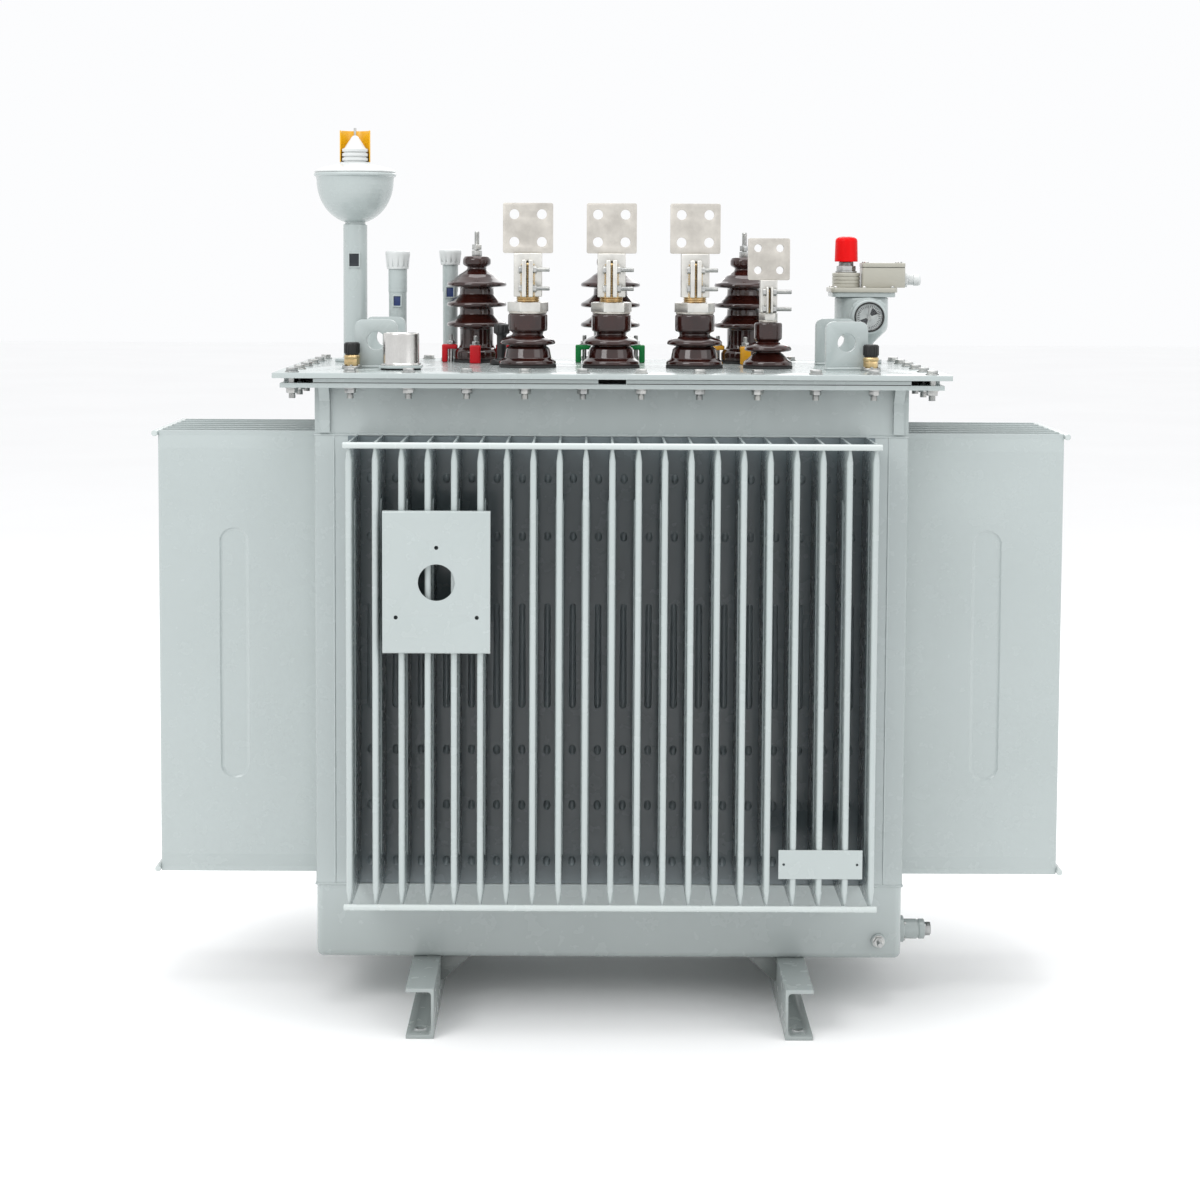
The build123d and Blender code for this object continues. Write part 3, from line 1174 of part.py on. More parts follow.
# --- write every node --------------------------------------------------------------------------
def main():
    os.makedirs("parts", exist_ok=True)
    save("tank_base", tank_base())
    tank_walls()
    save("tank_neck", ring_plate(HALF_L, HALF_D, TANK_WALL, (FINS_TOP, NECK_TOP)))
    save("tank_flange", tank_flange())
    save("neck_gussets", *neck_gussets())
    save("fin_rods", *fin_rods())
    save("skid_left", skid(-1))
    save("skid_right", skid(1))
    save("lid_gasket", lid_gasket())
    save("lid_spacers", *lid_spacers())
    save("lid", lid())
    save("lid_fasteners", *lid_fasteners())
    save("lifting_lugs", *lifting_lugs())
    lv_nuts, lv_gaskets = lv_row()
    hv_nuts, hv_gaskets = hv_row()
    save("bushing_nuts", *lv_nuts, *hv_nuts)
    save("bushing_gaskets", *lv_gaskets, *hv_gaskets)
    save("vent_pot", vent_pot())
    save("vent_lid", vent_lid())
    save("vent_guard", vent_guard())
    save("vent_pin", vent_pin())
    save("level_float", level_float())
    pipes = []
    for side, sizes in FILLERS.items():
        pipe, cap = filler(*sizes)
        pipes.append(pipe)
        save("filler_cap_" + side, cap)
    save("filler_pipes", *pipes)
    save("relief_cup", relief_cup())
    save("relief_valve", relief_valve())
    fittings = []
    for side, x in (("left", -POCKET_X), ("right", POCKET_X)):
        fitting, cap = pocket(x)
        fittings.append(fitting)
        save("pocket_cap_" + side, cap)
    save("pocket_fittings", *fittings)
    save("relay_body", relay_body())
    save("relay_dial", relay_dial())
    save("relay_pointer", relay_pointer())
    save("relay_box", *relay_box())
    save("relay_cap", relay_cap())
    save("tap_shaft", tap_shaft())
    save("tap_knob", tap_knob())
    save("tap_bar", tap_bar())
    save("tap_switch", tap_switch())
    save("instrument_plate", instrument_plate())
    save("nameplate", nameplate())
    save("earth_terminal", earth_terminal())
    save("drain_valve", *drain_valve())
    save("drain_plug", drain_plug())
    save("core", core())
    save("core_clamps", *core_clamps())
    save("lv_coils", *coils(LV_COIL))
    save("hv_coils", *coils(HV_COIL))
    save("winding_leads", *winding_leads())


main()
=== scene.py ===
import json
import math

import bmesh
import bpy
from mathutils import Matrix, Vector


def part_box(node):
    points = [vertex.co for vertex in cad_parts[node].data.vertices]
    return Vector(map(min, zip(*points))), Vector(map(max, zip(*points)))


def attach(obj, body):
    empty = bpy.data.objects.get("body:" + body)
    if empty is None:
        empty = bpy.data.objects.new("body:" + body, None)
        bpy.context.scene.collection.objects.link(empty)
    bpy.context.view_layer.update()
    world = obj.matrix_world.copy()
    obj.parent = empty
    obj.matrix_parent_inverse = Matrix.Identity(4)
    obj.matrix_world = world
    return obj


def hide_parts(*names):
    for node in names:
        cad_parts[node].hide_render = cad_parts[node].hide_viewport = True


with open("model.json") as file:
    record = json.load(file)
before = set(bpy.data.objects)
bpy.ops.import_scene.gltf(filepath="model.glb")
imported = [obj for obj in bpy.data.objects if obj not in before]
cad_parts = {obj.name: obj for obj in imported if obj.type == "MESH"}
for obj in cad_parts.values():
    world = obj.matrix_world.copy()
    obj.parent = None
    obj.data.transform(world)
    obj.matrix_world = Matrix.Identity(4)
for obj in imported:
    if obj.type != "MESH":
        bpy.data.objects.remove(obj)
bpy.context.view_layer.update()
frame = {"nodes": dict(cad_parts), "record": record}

MM = 0.001
UP = Vector((0, 0, 1))


# --- shader maths ------------------------------------------------------------------------------
class Wire:
    """One output socket. Arithmetic on it adds Math nodes to its material."""

    def __init__(self, finish, socket):
        self.finish = finish
        self.socket = socket

    def maths(self, operation, *other):
        return self.finish.node("Math", {"operation": operation}, dict(enumerate((self, *other))))

    def __add__(self, other):
        return self.maths("ADD", other)

    def __sub__(self, other):
        return self.maths("SUBTRACT", other)

    def __mul__(self, other):
        return self.maths("MULTIPLY", other)

    def __lt__(self, other):
        return self.maths("LESS_THAN", other)

    def __gt__(self, other):
        return self.maths("GREATER_THAN", other)


class Finish:
    """A material in the making, with a Principled shader and object coordinates."""

    def __init__(self, name, **fixed):
        self.material = bpy.data.materials.new(name)
        self.material.use_nodes = True
        self.tree = self.material.node_tree
        self.shader = self.tree.nodes["Principled BSDF"]
        self.set(fixed)
        self.place = self.node("TexCoord", out="Object")

    def node(self, kind, settings=None, values=None, out=0):
        node = self.tree.nodes.new("ShaderNode" + kind)
        for key, value in (settings or {}).items():
            if key == "stops":
                for stop, (place, colour) in zip(node.color_ramp.elements, value):
                    stop.position = place
                    stop.color = (*colour, 1)
            else:
                setattr(node, key, value)
        for key, value in (values or {}).items():
            self.feed(node.inputs[key], value)
        return Wire(self, node.outputs[out])

    def feed(self, socket, value):
        if isinstance(value, Wire):
            self.tree.links.new(value.socket, socket)
        elif socket.type == "RGBA":
            socket.default_value = (*value, 1)
        else:
            socket.default_value = value

    def set(self, values):
        for key, value in values.items():
            self.feed(self.shader.inputs[key.replace("_", " ")], value)

    def noise(self, scale, detail=3, roughness=0.5, stretch=None):
        place = self.place
        if stretch:
            place = self.node("Mapping", None, {"Vector": place, "Scale": stretch})
        values = {"Vector": place, "Scale": scale, "Detail": detail, "Roughness": roughness}
        return self.node("TexNoise", None, values)

    def ramp(self, factor, low, high, dark, light):
        stops = [(low, dark), (high, light)]
        return self.node("ValToRGB", {"stops": stops}, {"Fac": factor})

    def spread(self, factor, low, high):
        """A number from 0 to 1 as the factor goes from low to high."""
        return self.node("MapRange", None, {"Value": factor, "From Min": low, "From Max": high})

    def mix(self, factor, first, second):
        return self.node("Mix", {"data_type": "RGBA"}, {0: factor, 6: first, 7: second}, out=2)

    def along(self, axis, place=None):
        return self.node("SeparateXYZ", None, {0: place or self.place}, out=axis)

    def made(self, colour, roughness, relief=None, depth=0.0, strength=0.6):
        """Joins colour, roughness and relief to the shader and hands over the material."""
        self.set({"Base Color": colour, "Roughness": roughness})
        if relief:
            values = {"Height": relief, "Distance": depth, "Strength": strength}
            self.set({"Normal": self.node("Bump", None, values)})
        return self.material


# --- finishes ----------------------------------------------------------------------------------
FIN_FIELD = 0.462                       # half the width that the front fins cover, m
DUST = (0.42, 0.44, 0.40)
LOW_DOWN_DARK = (0.13, 0.14, 0.13)
# painted shade colour for the valleys between the front fins
FIN_VALLEY_SHADE = (0.052, 0.090, 0.110)


def enamel(name, colour, shade, grime=0.10, rough=0.26, peel=0.00012, deep=None):
    """Sprayed gloss enamel: orange peel, drifts of colour, dust, and a darker tone towards the
    bottom.

    Between the two distances in deep it darkens towards the wall behind the front fins: painted
    shade between the fins.
    """
    paint = Finish(name, Coat_Weight=0.35, Coat_Roughness=0.08, Specular_IOR_Level=0.5)
    drift = paint.noise(3.1, 4, 0.6)
    cloud = paint.noise(11.0, 5, 0.55, (1, 1, 0.25))
    base = paint.ramp(drift, 0.35, 0.68, shade, colour)
    coat = paint.mix(paint.spread(cloud, 0.52, 0.86) * grime, base, DUST)
    # darker towards the bottom, fading out by 0.22 m above the floor
    darker_low_down = paint.spread(paint.along("Z") + drift * 0.03, 0.22, 0.05) * 0.42
    coat = paint.mix(darker_low_down, coat, LOW_DOWN_DARK)
    # painted shade: towards the wall, between the front fins, the coat darkens to the valley shade
    # colour
    if deep:
        thin = paint.spread(paint.along("Y").maths("ABSOLUTE"), *deep)
        behind = paint.along("X").maths("ABSOLUTE") < FIN_FIELD
        coat = paint.mix(thin * behind * 0.74, coat, FIN_VALLEY_SHADE)
    ripple = paint.noise(300.0, 2) * 0.18 + paint.noise(8.0, 1) * 7.0
    return paint.made(coat, paint.noise(38.0, 3) * 0.14 + (rough - 0.07), ripple, peel)


def glaze():
    """Thick brown electrical glaze: in patches it runs thinner and redder, with fine specks."""
    skin = Finish("brown_glaze", Coat_Weight=0.75, Coat_Roughness=0.03, Specular_IOR_Level=0.35)
    thick = skin.noise(24.0, 4, 0.6, (1, 1, 0.4))
    speck = skin.spread(skin.noise(900.0, 1), 0.68, 0.75) * 0.5
    base = skin.ramp(thick, 0.3, 0.72, (0.014, 0.0035, 0.0028), (0.036, 0.0085, 0.006))
    colour = skin.mix(speck, base, (0.11, 0.03, 0.018))
    return skin.made(colour, skin.noise(60.0, 3) * 0.10 + 0.06, skin.noise(45.0, 2), 0.0006, 0.35)


def metal(name, bright, dull, rough, grain=(1, 1, 1), metallic=1.0):
    """Bare or plated metal: dull patches, fine scratches along the grain."""
    bare = Finish(name, Metallic=metallic)
    patch = bare.noise(26.0, 5, 0.65)
    brushed = bare.noise(320.0, 3, 0.6, grain)
    colour = bare.ramp(patch, 0.34, 0.66, dull, bright)
    return bare.made(colour, brushed * 0.22 + patch * 0.16 + (rough - 0.19), brushed, 0.00006)


def plastic(name, colour, deep, rough=0.28, texture=0.00002, shine=0.5):
    """Moulded plastic: faint flow marks and a fine spark-eroded skin."""
    skin = Finish(name, Specular_IOR_Level=shine)
    flow = skin.ramp(skin.noise(34.0, 3, 0.5, (1, 1, 0.5)), 0.3, 0.7, deep, colour)
    dull = skin.noise(240.0, 2) * 0.16 + (rough - 0.08)
    return skin.made(flow, dull, skin.noise(700.0, 2), texture, 0.5)


def wound_wire():
    """Enamelled copper in close turns."""
    wire = Finish("wound_copper", Metallic=0.6, Coat_Weight=0.5)
    turns = (wire.along("Z") * 1400.0).maths("SINE")
    patch = wire.noise(40.0, 4)
    colour = wire.ramp(patch, 0.3, 0.7, (0.25, 0.07, 0.025), (0.50, 0.18, 0.07))
    return wire.made(colour, patch * 0.2 + 0.25, turns * 0.5 + 0.5, 0.0006, 0.8)


def stacked_sheet():
    """Edges of thin core sheets."""
    sheet = Finish("core_sheet", Metallic=0.8)
    lines = (sheet.along("Y") * 6000.0).maths("SINE")
    patch = sheet.noise(60.0, 4)
    colour = sheet.ramp(patch, 0.3, 0.7, (0.12, 0.12, 0.13), (0.26, 0.27, 0.30))
    return sheet.made(colour, patch * 0.25 + 0.35, lines, 0.0002)


def pressed_board():
    board = Finish("pressed_board")
    fibre = board.noise(160.0, 5, 0.7, (1, 1, 0.2))
    colour = board.ramp(fibre, 0.3, 0.7, (0.20, 0.10, 0.04), (0.42, 0.25, 0.12))
    return board.made(colour, fibre * 0.2 + 0.55, fibre, 0.0002)


def clear_glass(name, tint):
    glass = Finish(name, Transmission_Weight=1.0, IOR=1.25)
    smear = glass.noise(50.0, 3)
    colour = glass.ramp(smear, 0.3, 0.7, tint, tuple(min(1, c * 1.08) for c in tint))
    return glass.made(colour, smear * 0.05 + 0.02)


def dial_print(centre):
    """A printed dial: pale face, dark ring of divisions and two dark sectors."""
    face = Finish("dial_print", Specular_IOR_Level=0.5, Coat_Weight=0.6, Coat_Roughness=0.02)
    spot = face.node("Mapping", None, {"Vector": face.place, "Location": tuple(-c for c in centre)})
    across, rise = face.along("X", spot), face.along("Z", spot)
    reach = (across * across + rise * rise).maths("POWER", 0.5)
    turn = rise.maths("ARCTAN2", across)
    ticks = (turn * 36.0).maths("SINE") > 0.55
    band = (reach > 0.0175) * (reach < 0.0215)
    upper = (turn - 0.80).maths("ABSOLUTE") < 0.46
    lower = (turn + 2.35).maths("ABSOLUTE") < 0.46
    sectors = (upper + lower) * (reach > 0.005) * (reach < 0.0172)
    paper = face.ramp(face.noise(90.0, 3), 0.3, 0.7, (0.56, 0.58, 0.58), (0.70, 0.72, 0.71))
    inked = face.mix(ticks * band, paper, (0.03, 0.03, 0.03))
    colour = face.mix(sectors, inked, (0.010, 0.013, 0.020))
    dull = face.noise(60.0, 2) * 0.1 + 0.25
    return face.made(colour, dull, face.noise(300.0, 2), 0.00002, 0.4)


GREY = enamel("grey_enamel", (0.432, 0.482, 0.478), (0.414, 0.463, 0.458), 0.04)
# Tie rods along the fin tips: a lighter copy of the grey enamel, painted light
LIT_EDGE_GREY = enamel("grey_enamel_edges_painted_light", (0.540, 0.590, 0.580), (0.510, 0.560, 0.550), 0.03)
BEIGE = enamel("beige_enamel", (0.445, 0.435, 0.375), (0.40, 0.39, 0.335), 0.05, 0.34)
# Front fins: a slightly lighter copy of the grey enamel, painted light on the fin tips, that
# darkens towards the wall, painted shade between the fins
FRONT_FIN_LIGHT_AND_SHADE = enamel("grey_enamel_front_fins_painted_light_and_shade", (0.450, 0.502, 0.498), (0.432, 0.482, 0.478), 0.03,
                  deep=(0.372, 0.290))
# Bosses between the fins: a darker copy of the grey enamel, painted shade, kept lighter than the
# valley shade around them
BOSS_PAINTED_SHADE = enamel("grey_enamel_bosses_painted_shade", (0.300, 0.350, 0.368), (0.270, 0.318, 0.334), 0.03,
                     0.18)
# Gussets under the tank: a dark copy of the grey enamel, painted shade from the tank above
SHADED_GREY = enamel("grey_enamel_gussets_painted_shade", (0.150, 0.168, 0.165), (0.120, 0.136, 0.134), 0.03)
PRIMER = enamel("primer", (0.20, 0.21, 0.21), (0.15, 0.16, 0.16), rough=0.5)
BROWN = glaze()
TINNED = metal("tinned_copper", (0.64, 0.61, 0.56), (0.50, 0.475, 0.435), 0.44, (1, 1, 0.05), 0.85)
TINNED_SIDE = metal("tinned_casting", (0.76, 0.75, 0.71), (0.60, 0.59, 0.56), 0.36, metallic=0.9)
ZINC = metal("zinc_plate", (0.60, 0.60, 0.58), (0.38, 0.39, 0.39), 0.32)
BRASS = metal("turned_brass", (0.72, 0.55, 0.30), (0.55, 0.40, 0.20), 0.30, (0.2, 0.2, 3))
POLISHED = metal("polished_steel", (0.70, 0.69, 0.67), (0.62, 0.61, 0.59), 0.24, (3, 3, 0.05))
TURNED_STEEL = metal("turned_steel", (0.50, 0.50, 0.49), (0.36, 0.37, 0.37), 0.34)
RED = plastic("red_plastic", (0.78, 0.004, 0.005), (0.62, 0.003, 0.004), 0.34, shine=0.12)
CLAW_RED = plastic("red_dip", (0.56, 0.008, 0.016), (0.42, 0.005, 0.010), 0.30, shine=0.25)
CLAW_GREEN = plastic("green_dip", (0.008, 0.235, 0.055), (0.005, 0.165, 0.038), 0.30, shine=0.25)
CLAW_YELLOW = plastic("yellow_dip", (0.80, 0.40, 0.015), (0.66, 0.30, 0.008), 0.30)
YELLOW = plastic("yellow_plastic", (0.80, 0.44, 0.010), (0.68, 0.35, 0.008))
WHITE = plastic("white_plastic", (0.66, 0.68, 0.675), (0.58, 0.60, 0.595), 0.30)
SMOKED = plastic("smoked_glass", (0.020, 0.026, 0.034), (0.010, 0.014, 0.020), 0.12)
BLACK = plastic("black_plastic", (0.022, 0.022, 0.022), (0.010, 0.010, 0.010), 0.42, 0.00012)
BLUE = plastic("blue_float", (0.020, 0.045, 0.170), (0.010, 0.025, 0.100), 0.35)
RUBBER = plastic("seal_rubber", (0.030, 0.030, 0.030), (0.016, 0.016, 0.016), 0.75, 0.00020)
GLASS = clear_glass("clear_cover", (0.95, 0.97, 0.97))

SLOT_FINISH = {
    "tank_paint": GREY, "gasket_rubber": RUBBER, "zinc_steel": ZINC, "porcelain": BROWN,
    "tinned_metal": TINNED, "stud_brass": BRASS, "red_plastic": CLAW_RED,
    "green_plastic": CLAW_GREEN, "yellow_plastic": CLAW_YELLOW, "white_plastic": WHITE,
    "blue_float": BLUE, "bright_cup": POLISHED, "valve_steel": TURNED_STEEL,
    "black_plastic": BLACK, "box_paint": BEIGE, "insulating_board": pressed_board(),
    "core_steel": stacked_sheet(), "clamp_steel": PRIMER, "copper_winding": wound_wire(),
}
NODE_FINISH = {"fin_rods": LIT_EDGE_GREY, "relay_cap": RED, "vent_guard": YELLOW,
               "instrument_plate": GREY, "nameplate": GREY, "drain_valve": GREY}

SLOT_OF = {row["node"]: row["material_slot"] for row in frame["record"]["subparts"]}
for node, shape in frame["nodes"].items():
    finish = NODE_FINISH.get(node, SLOT_FINISH[SLOT_OF[node]])
    if not shape.data.materials:
        shape.data.materials.append(finish)
    for place in range(len(shape.data.materials)):
        shape.data.materials[place] = finish


# --- shaping tools, sizes in mm unless they say metres ----------------------------------------
FRONT = (math.radians(90), 0, 0)       # a turned piece's +Z points to the front, -Y
RIGHT = (0, math.radians(90), 0)       # its +Z points to the right, +X


def only(*pieces):
    if bpy.context.object and bpy.context.object.mode != "OBJECT":
        bpy.ops.object.mode_set(mode="OBJECT")
    bpy.ops.object.select_all(action="DESELECT")
    for piece in pieces:
        piece.select_set(True)
    bpy.context.view_layer.objects.active = pieces[0] if pieces else None


def settle(piece):
    """Puts the piece's place and turn into its mesh."""
    only(piece)
    bpy.ops.object.transform_apply(location=True, rotation=True, scale=True)
    return piece


def placed(piece, x=0.0, y=0.0, z=0.0, turn=None):
    """Turns the piece about the origin, moves it and settles it."""
    if turn:
        piece.rotation_euler = turn
    piece.location = (x * MM, y * MM, z * MM)
    return settle(piece)


def metres(sizes):
    return [size * MM for size in sizes]


def plate(low, high):
    """A square-edged block between two corners in metres, ready to be shaped."""
    only()
    low = Vector(low)
    high = Vector(high)
    bpy.ops.mesh.primitive_cube_add(size=1, location=(low + high) / 2, scale=high - low)
    return settle(bpy.context.object)


def slab(low, high):
    return plate(metres(low), metres(high))


def post(radius, length, place=(0, 0, 0), sides=48, turn=(0, 0, 0)):
    """A plain bar with its middle at the place."""
    only()
    bpy.ops.mesh.primitive_cylinder_add(vertices=sides, radius=radius * MM, depth=length * MM,
                                        location=metres(place), rotation=turn)
    return settle(bpy.context.object)


def ball(radius, place=(0, 0, 0), sides=10, scale=(1, 1, 1)):
    only()
    bpy.ops.mesh.primitive_uv_sphere_add(segments=sides, ring_count=6, radius=radius * MM,
                                         location=metres(place), scale=scale)
    return settle(bpy.context.object)


def smooth(piece, angle=180):
    only(piece)
    if angle < 180:
        bpy.ops.object.shade_smooth_by_angle(angle=math.radians(angle))
    else:
        bpy.ops.object.shade_smooth()
    return piece


def soften(piece, width, segments=2, angle=30):
    """Rounds every edge sharper than the angle."""
    only(piece)
    bevel = piece.modifiers.new("soften", "BEVEL")
    bevel.width = width * MM
    bevel.segments = segments
    bevel.limit_method = "ANGLE"
    bevel.angle_limit = math.radians(angle)
    bpy.ops.object.modifier_apply(modifier=bevel.name)
    return smooth(piece, 40)


def pick(piece, kind, test):
    """Leaves the piece in edit mode with only the chosen faces, edges or verts selected."""
    only(piece)
    bpy.ops.object.mode_set(mode="EDIT")
    bpy.ops.mesh.select_mode(type=kind)
    bpy.ops.mesh.select_all(action="DESELECT")
    mesh = bmesh.from_edit_mesh(piece.data)
    for part in {"FACE": mesh.faces, "EDGE": mesh.edges, "VERT": mesh.verts}[kind]:
        if test(part):
            part.select_set(True)
    mesh.select_flush_mode()
    bmesh.update_edit_mesh(piece.data)


def done():
    bpy.ops.object.mode_set(mode="OBJECT")


def runs(axis, least):
    """A test for edges that run along an axis for more than the least length."""
    return lambda e: abs(e.verts[0].co[axis] - e.verts[1].co[axis]) > least * MM


def trimmed(piece, test, width, segments):
    """Rounds only the edges that pass the test."""
    pick(piece, "EDGE", test)
    bpy.ops.mesh.bevel(offset=width * MM, segments=segments, affect="EDGES")
    done()
    return piece


def shifted(piece, test, move):
    """Moves only the verts that pass the test."""
    pick(piece, "VERT", test)
    bpy.ops.transform.translate(value=metres(move))
    done()
    return piece


def slice_at(piece, *cuts):
    """Scores the piece all round at each (point, normal)."""
    pick(piece, "FACE", lambda face: True)
    for point, normal in cuts:
        bpy.ops.mesh.select_all(action="SELECT")
        bpy.ops.mesh.bisect(plane_co=metres(point), plane_no=normal)
    done()


def rounded(outline, radius, steps=3):
    """The outline of (radius, height) points with its corners eased."""
    points = [Vector(point) for point in outline]
    eased = [points[0]]
    for before, corner, after in zip(points, points[1:], points[2:]):
        back = (before - corner)
        ahead = (after - corner)
        reach = min(radius, back.length * 0.45, ahead.length * 0.45)
        start = corner + back.normalized() * reach
        end = corner + ahead.normalized() * reach
        for step in range(steps + 1):
            t = step / steps
            eased.append(start * (1 - t) ** 2 + corner * 2 * t * (1 - t) + end * t * t)
    eased.append(points[-1])
    return [(point.x, point.y) for point in eased]


def turned(outline, x, y, z=0.0, steps=48, ease=1.0, turn=None, even=38):
    """A turned piece: a ring drawn up and out through the outline of (radius, height)."""
    points = rounded(outline, ease)
    only()
    radius, height = points[0]
    bpy.ops.mesh.primitive_circle_add(vertices=steps, radius=radius * MM,
                                      location=(0, 0, height * MM), fill_type="NGON")
    piece = settle(bpy.context.object)
    bpy.ops.object.mode_set(mode="EDIT")
    bpy.ops.mesh.select_mode(type="EDGE")
    bpy.ops.mesh.select_all(action="SELECT")
    for (old, foot), (new, top) in zip(points, points[1:]):
        lift = {"value": (0, 0, (top - foot) * MM)}
        bpy.ops.mesh.extrude_edges_move(TRANSFORM_OT_translate=lift)
        scale = new / old
        bpy.ops.transform.resize(value=(scale, scale, 1), center_override=(0, 0, top * MM))
    bpy.ops.mesh.edge_face_add()
    bpy.ops.mesh.select_all(action="SELECT")
    bpy.ops.mesh.normals_make_consistent(inside=False)
    done()
    return smooth(placed(piece, x, y, z, turn), even)


def washer(x, y, z, inner, outer, thick, steps=28, ease=0.5):
    ring = [(inner, 0), (outer, 0), (outer, thick), (inner, thick)]
    return turned(ring, x, y, z, steps, ease)


def around(x, y, radius, count, start=0, step=None):
    """Places on a circle, an even step apart in degrees."""
    for i in range(count):
        turn = math.radians(start + i * (step or 360 / count))
        yield x + radius * math.cos(turn), y + radius * math.sin(turn)


def cut_away(piece, *cutters):
    for cutter in cutters:
        only(piece)
        hollow = piece.modifiers.new("cut", "BOOLEAN")
        hollow.operation = "DIFFERENCE"
        hollow.solver = "EXACT"
        hollow.object = cutter
        bpy.ops.object.modifier_apply(modifier=hollow.name)
        bpy.data.objects.remove(cutter)
    return piece


def bored(piece, x, y, radius, low, high):
    """Drills straight down through the piece."""
    return cut_away(piece, post(radius, high - low, (x, y, (low + high) / 2)))


def copied(piece, move=(0, 0, 0), turn=None, about=(0, 0, 0)):
    """A copy with its own mesh, turned about a point and then moved."""
    twin = piece.copy()
    twin.data = piece.data.copy()
    bpy.context.scene.collection.objects.link(twin)
    centre = Matrix.Translation(metres(about))
    turned_by = turn.to_4x4() if turn else Matrix.Identity(4)
    shift = Matrix.Translation(metres(move))
    twin.matrix_world = shift @ centre @ turned_by @ centre.inverted()
    return settle(twin)


def repeated(pattern, places):
    """One copy of the pattern for each (move, turn), after which the pattern goes."""
    copies = [copied(pattern, move, turn) for move, turn in places]
    bpy.data.objects.remove(pattern)
    return copies


def painted(piece, finish):
    piece.data.materials.clear()
    piece.data.materials.append(finish)
    return piece


def joined(name, pieces, finish=None):
    """One object of several parts. Without a finish each part keeps its own."""
    only(*pieces)
    if len(pieces) > 1:
        bpy.ops.object.join()
    whole = pieces[0]
    whole.name = name
    whole.data.name = name
    return painted(whole, finish) if finish else whole


def fit(piece, body, slot, *nodes):
    """Fixes a finished piece to its body in place of the plain nodes."""
    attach(piece, body)
    if nodes:
        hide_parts(*nodes)
    return piece


def span(node):
    low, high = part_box(node)
    return low / MM, high / MM


def turn_z(degrees):
    return Matrix.Rotation(math.radians(degrees), 3, "Z")


# --- where things stand, (x, y) in mm ----------------------------------------------------------
BASE_TOP, FINS_TOP = (corner.z for corner in span("front_wall"))
FLANGE_UNDER = span("tank_flange")[0].z
LID_TOP = span("lid")[1].z
HALF_L, HALF_D = span("tank_base")[1].xy

PHASE_X, NEUTRAL_X, LOW_Y = (-152, 0, 152), 286, -48
TALL_X, TALL_Y = (-254, 0, 254), 140
VENT, RELIEF, RELAY, KNOB = (-486, 150), (-375, -150), (481, 170), (-203, 40)
FILLER_LEFT, FILLER_RIGHT = (-404, 135), (-308, 199)
POCKET_X, POCKET_Y = 465, -122
STEM_RADIUS, STEM_BORE = 22.75, 19.75
FRONT_PITCH, FRONT_FINS = 44.5, 21
SIDE_PITCH, SIDE_FINS = 47, 7
BOLT_X, BOLT_Y = 555, 260


# --- corrugated walls --------------------------------------------------------------------------
FIN_HALF = 6                                        # half the thickness of a fin
PINCHES = ((9, 0.34), (19, 0.62), (32, 0.90))       # how far in from its end, how thick there


def pressed_fin(depth, ribs, slot):
    """One hollow fin along -Y: pinched ends, a rounded tip, ribs or one long slot in its faces."""
    fin = slab((-FIN_HALF, -depth, BASE_TOP), (FIN_HALF, 1, FINS_TOP))
    upright = runs(2, 100)
    trimmed(fin, lambda e: upright(e) and all(v.co.y < (1 - depth) * MM for v in e.verts), 4.5, 4)
    soften(fin, 0.7, 2, 60)
    middle = (BASE_TOP + FINS_TOP) / 2
    half = (FINS_TOP - BASE_TOP) / 2
    slice_at(fin, *[((0, 0, middle + side * (half - inset)), UP)
                    for inset, _ in PINCHES for side in (-1, 1)])
    rim = -1
    for inset, share in PINCHES:
        inner, outer = half - inset - 0.1, half - rim
        pick(fin, "VERT", lambda v: inner * MM < abs(v.co.z - middle * MM) < outer * MM)
        bpy.ops.transform.resize(value=(share, 1, 1), center_override=(0, 0, 0))
        done()
        rim = inset + 0.1
    smooth(fin, 28)
    if slot:
        smooth(cut_away(fin, *[pressed_slot(side, *slot) for side in (-1, 1)]), 7)
    return joined("fin", [fin] + [pressed_rib(side, *rib) for rib in ribs for side in (-1, 1)])


def long_round(place, foot, top, wide, thick):
    """A flat piece with round ends, standing in the plane of a fin's face."""
    piece = post(wide / 2, thick, sides=28, turn=RIGHT)
    for way in (-1, 1):
        shifted(piece, lambda v: v.co.z * way > 0.0001, (0, 0, way * (top - foot - wide) / 2))
    return placed(piece, 0, -place, (foot + top) / 2)


def pressed_slot(side, place, foot, top, wide, deep):
    """The tool that presses a long slot with sloping sides into a face."""
    tool = long_round(place, foot, top, wide, 2)
    pick(tool, "FACE", lambda face: face.normal.x * side < -0.5)
    for step, drop in ((2.5, 0.35), (3.0, 1.0), (2.5, 0.35)):
        bpy.ops.mesh.inset(thickness=step * MM, depth=drop * deep / 1.7 * MM)
    done()
    return placed(tool, side * (FIN_HALF + 1))


def pressed_rib(side, place, foot, top, wide, proud):
    """A long pressed rib with round ends, half sunk in the face of a fin."""
    rib = long_round(place, foot, top, wide, proud * 2)
    trimmed(rib, lambda e: e.verts[0].co.x * e.verts[1].co.x > 0, proud * 0.98, 4)
    return smooth(placed(rib, side * FIN_HALF))


def valley_boss(x, z, tall):
    """A rounded boss pressed into the wall between two fins."""
    boss = ball(1, scale=(6.8, 5.0, 7.8))
    shifted(boss, lambda v: v.co.z > 0.0001, (0, 0, tall))
    return smooth(placed(boss, x, 1, z))


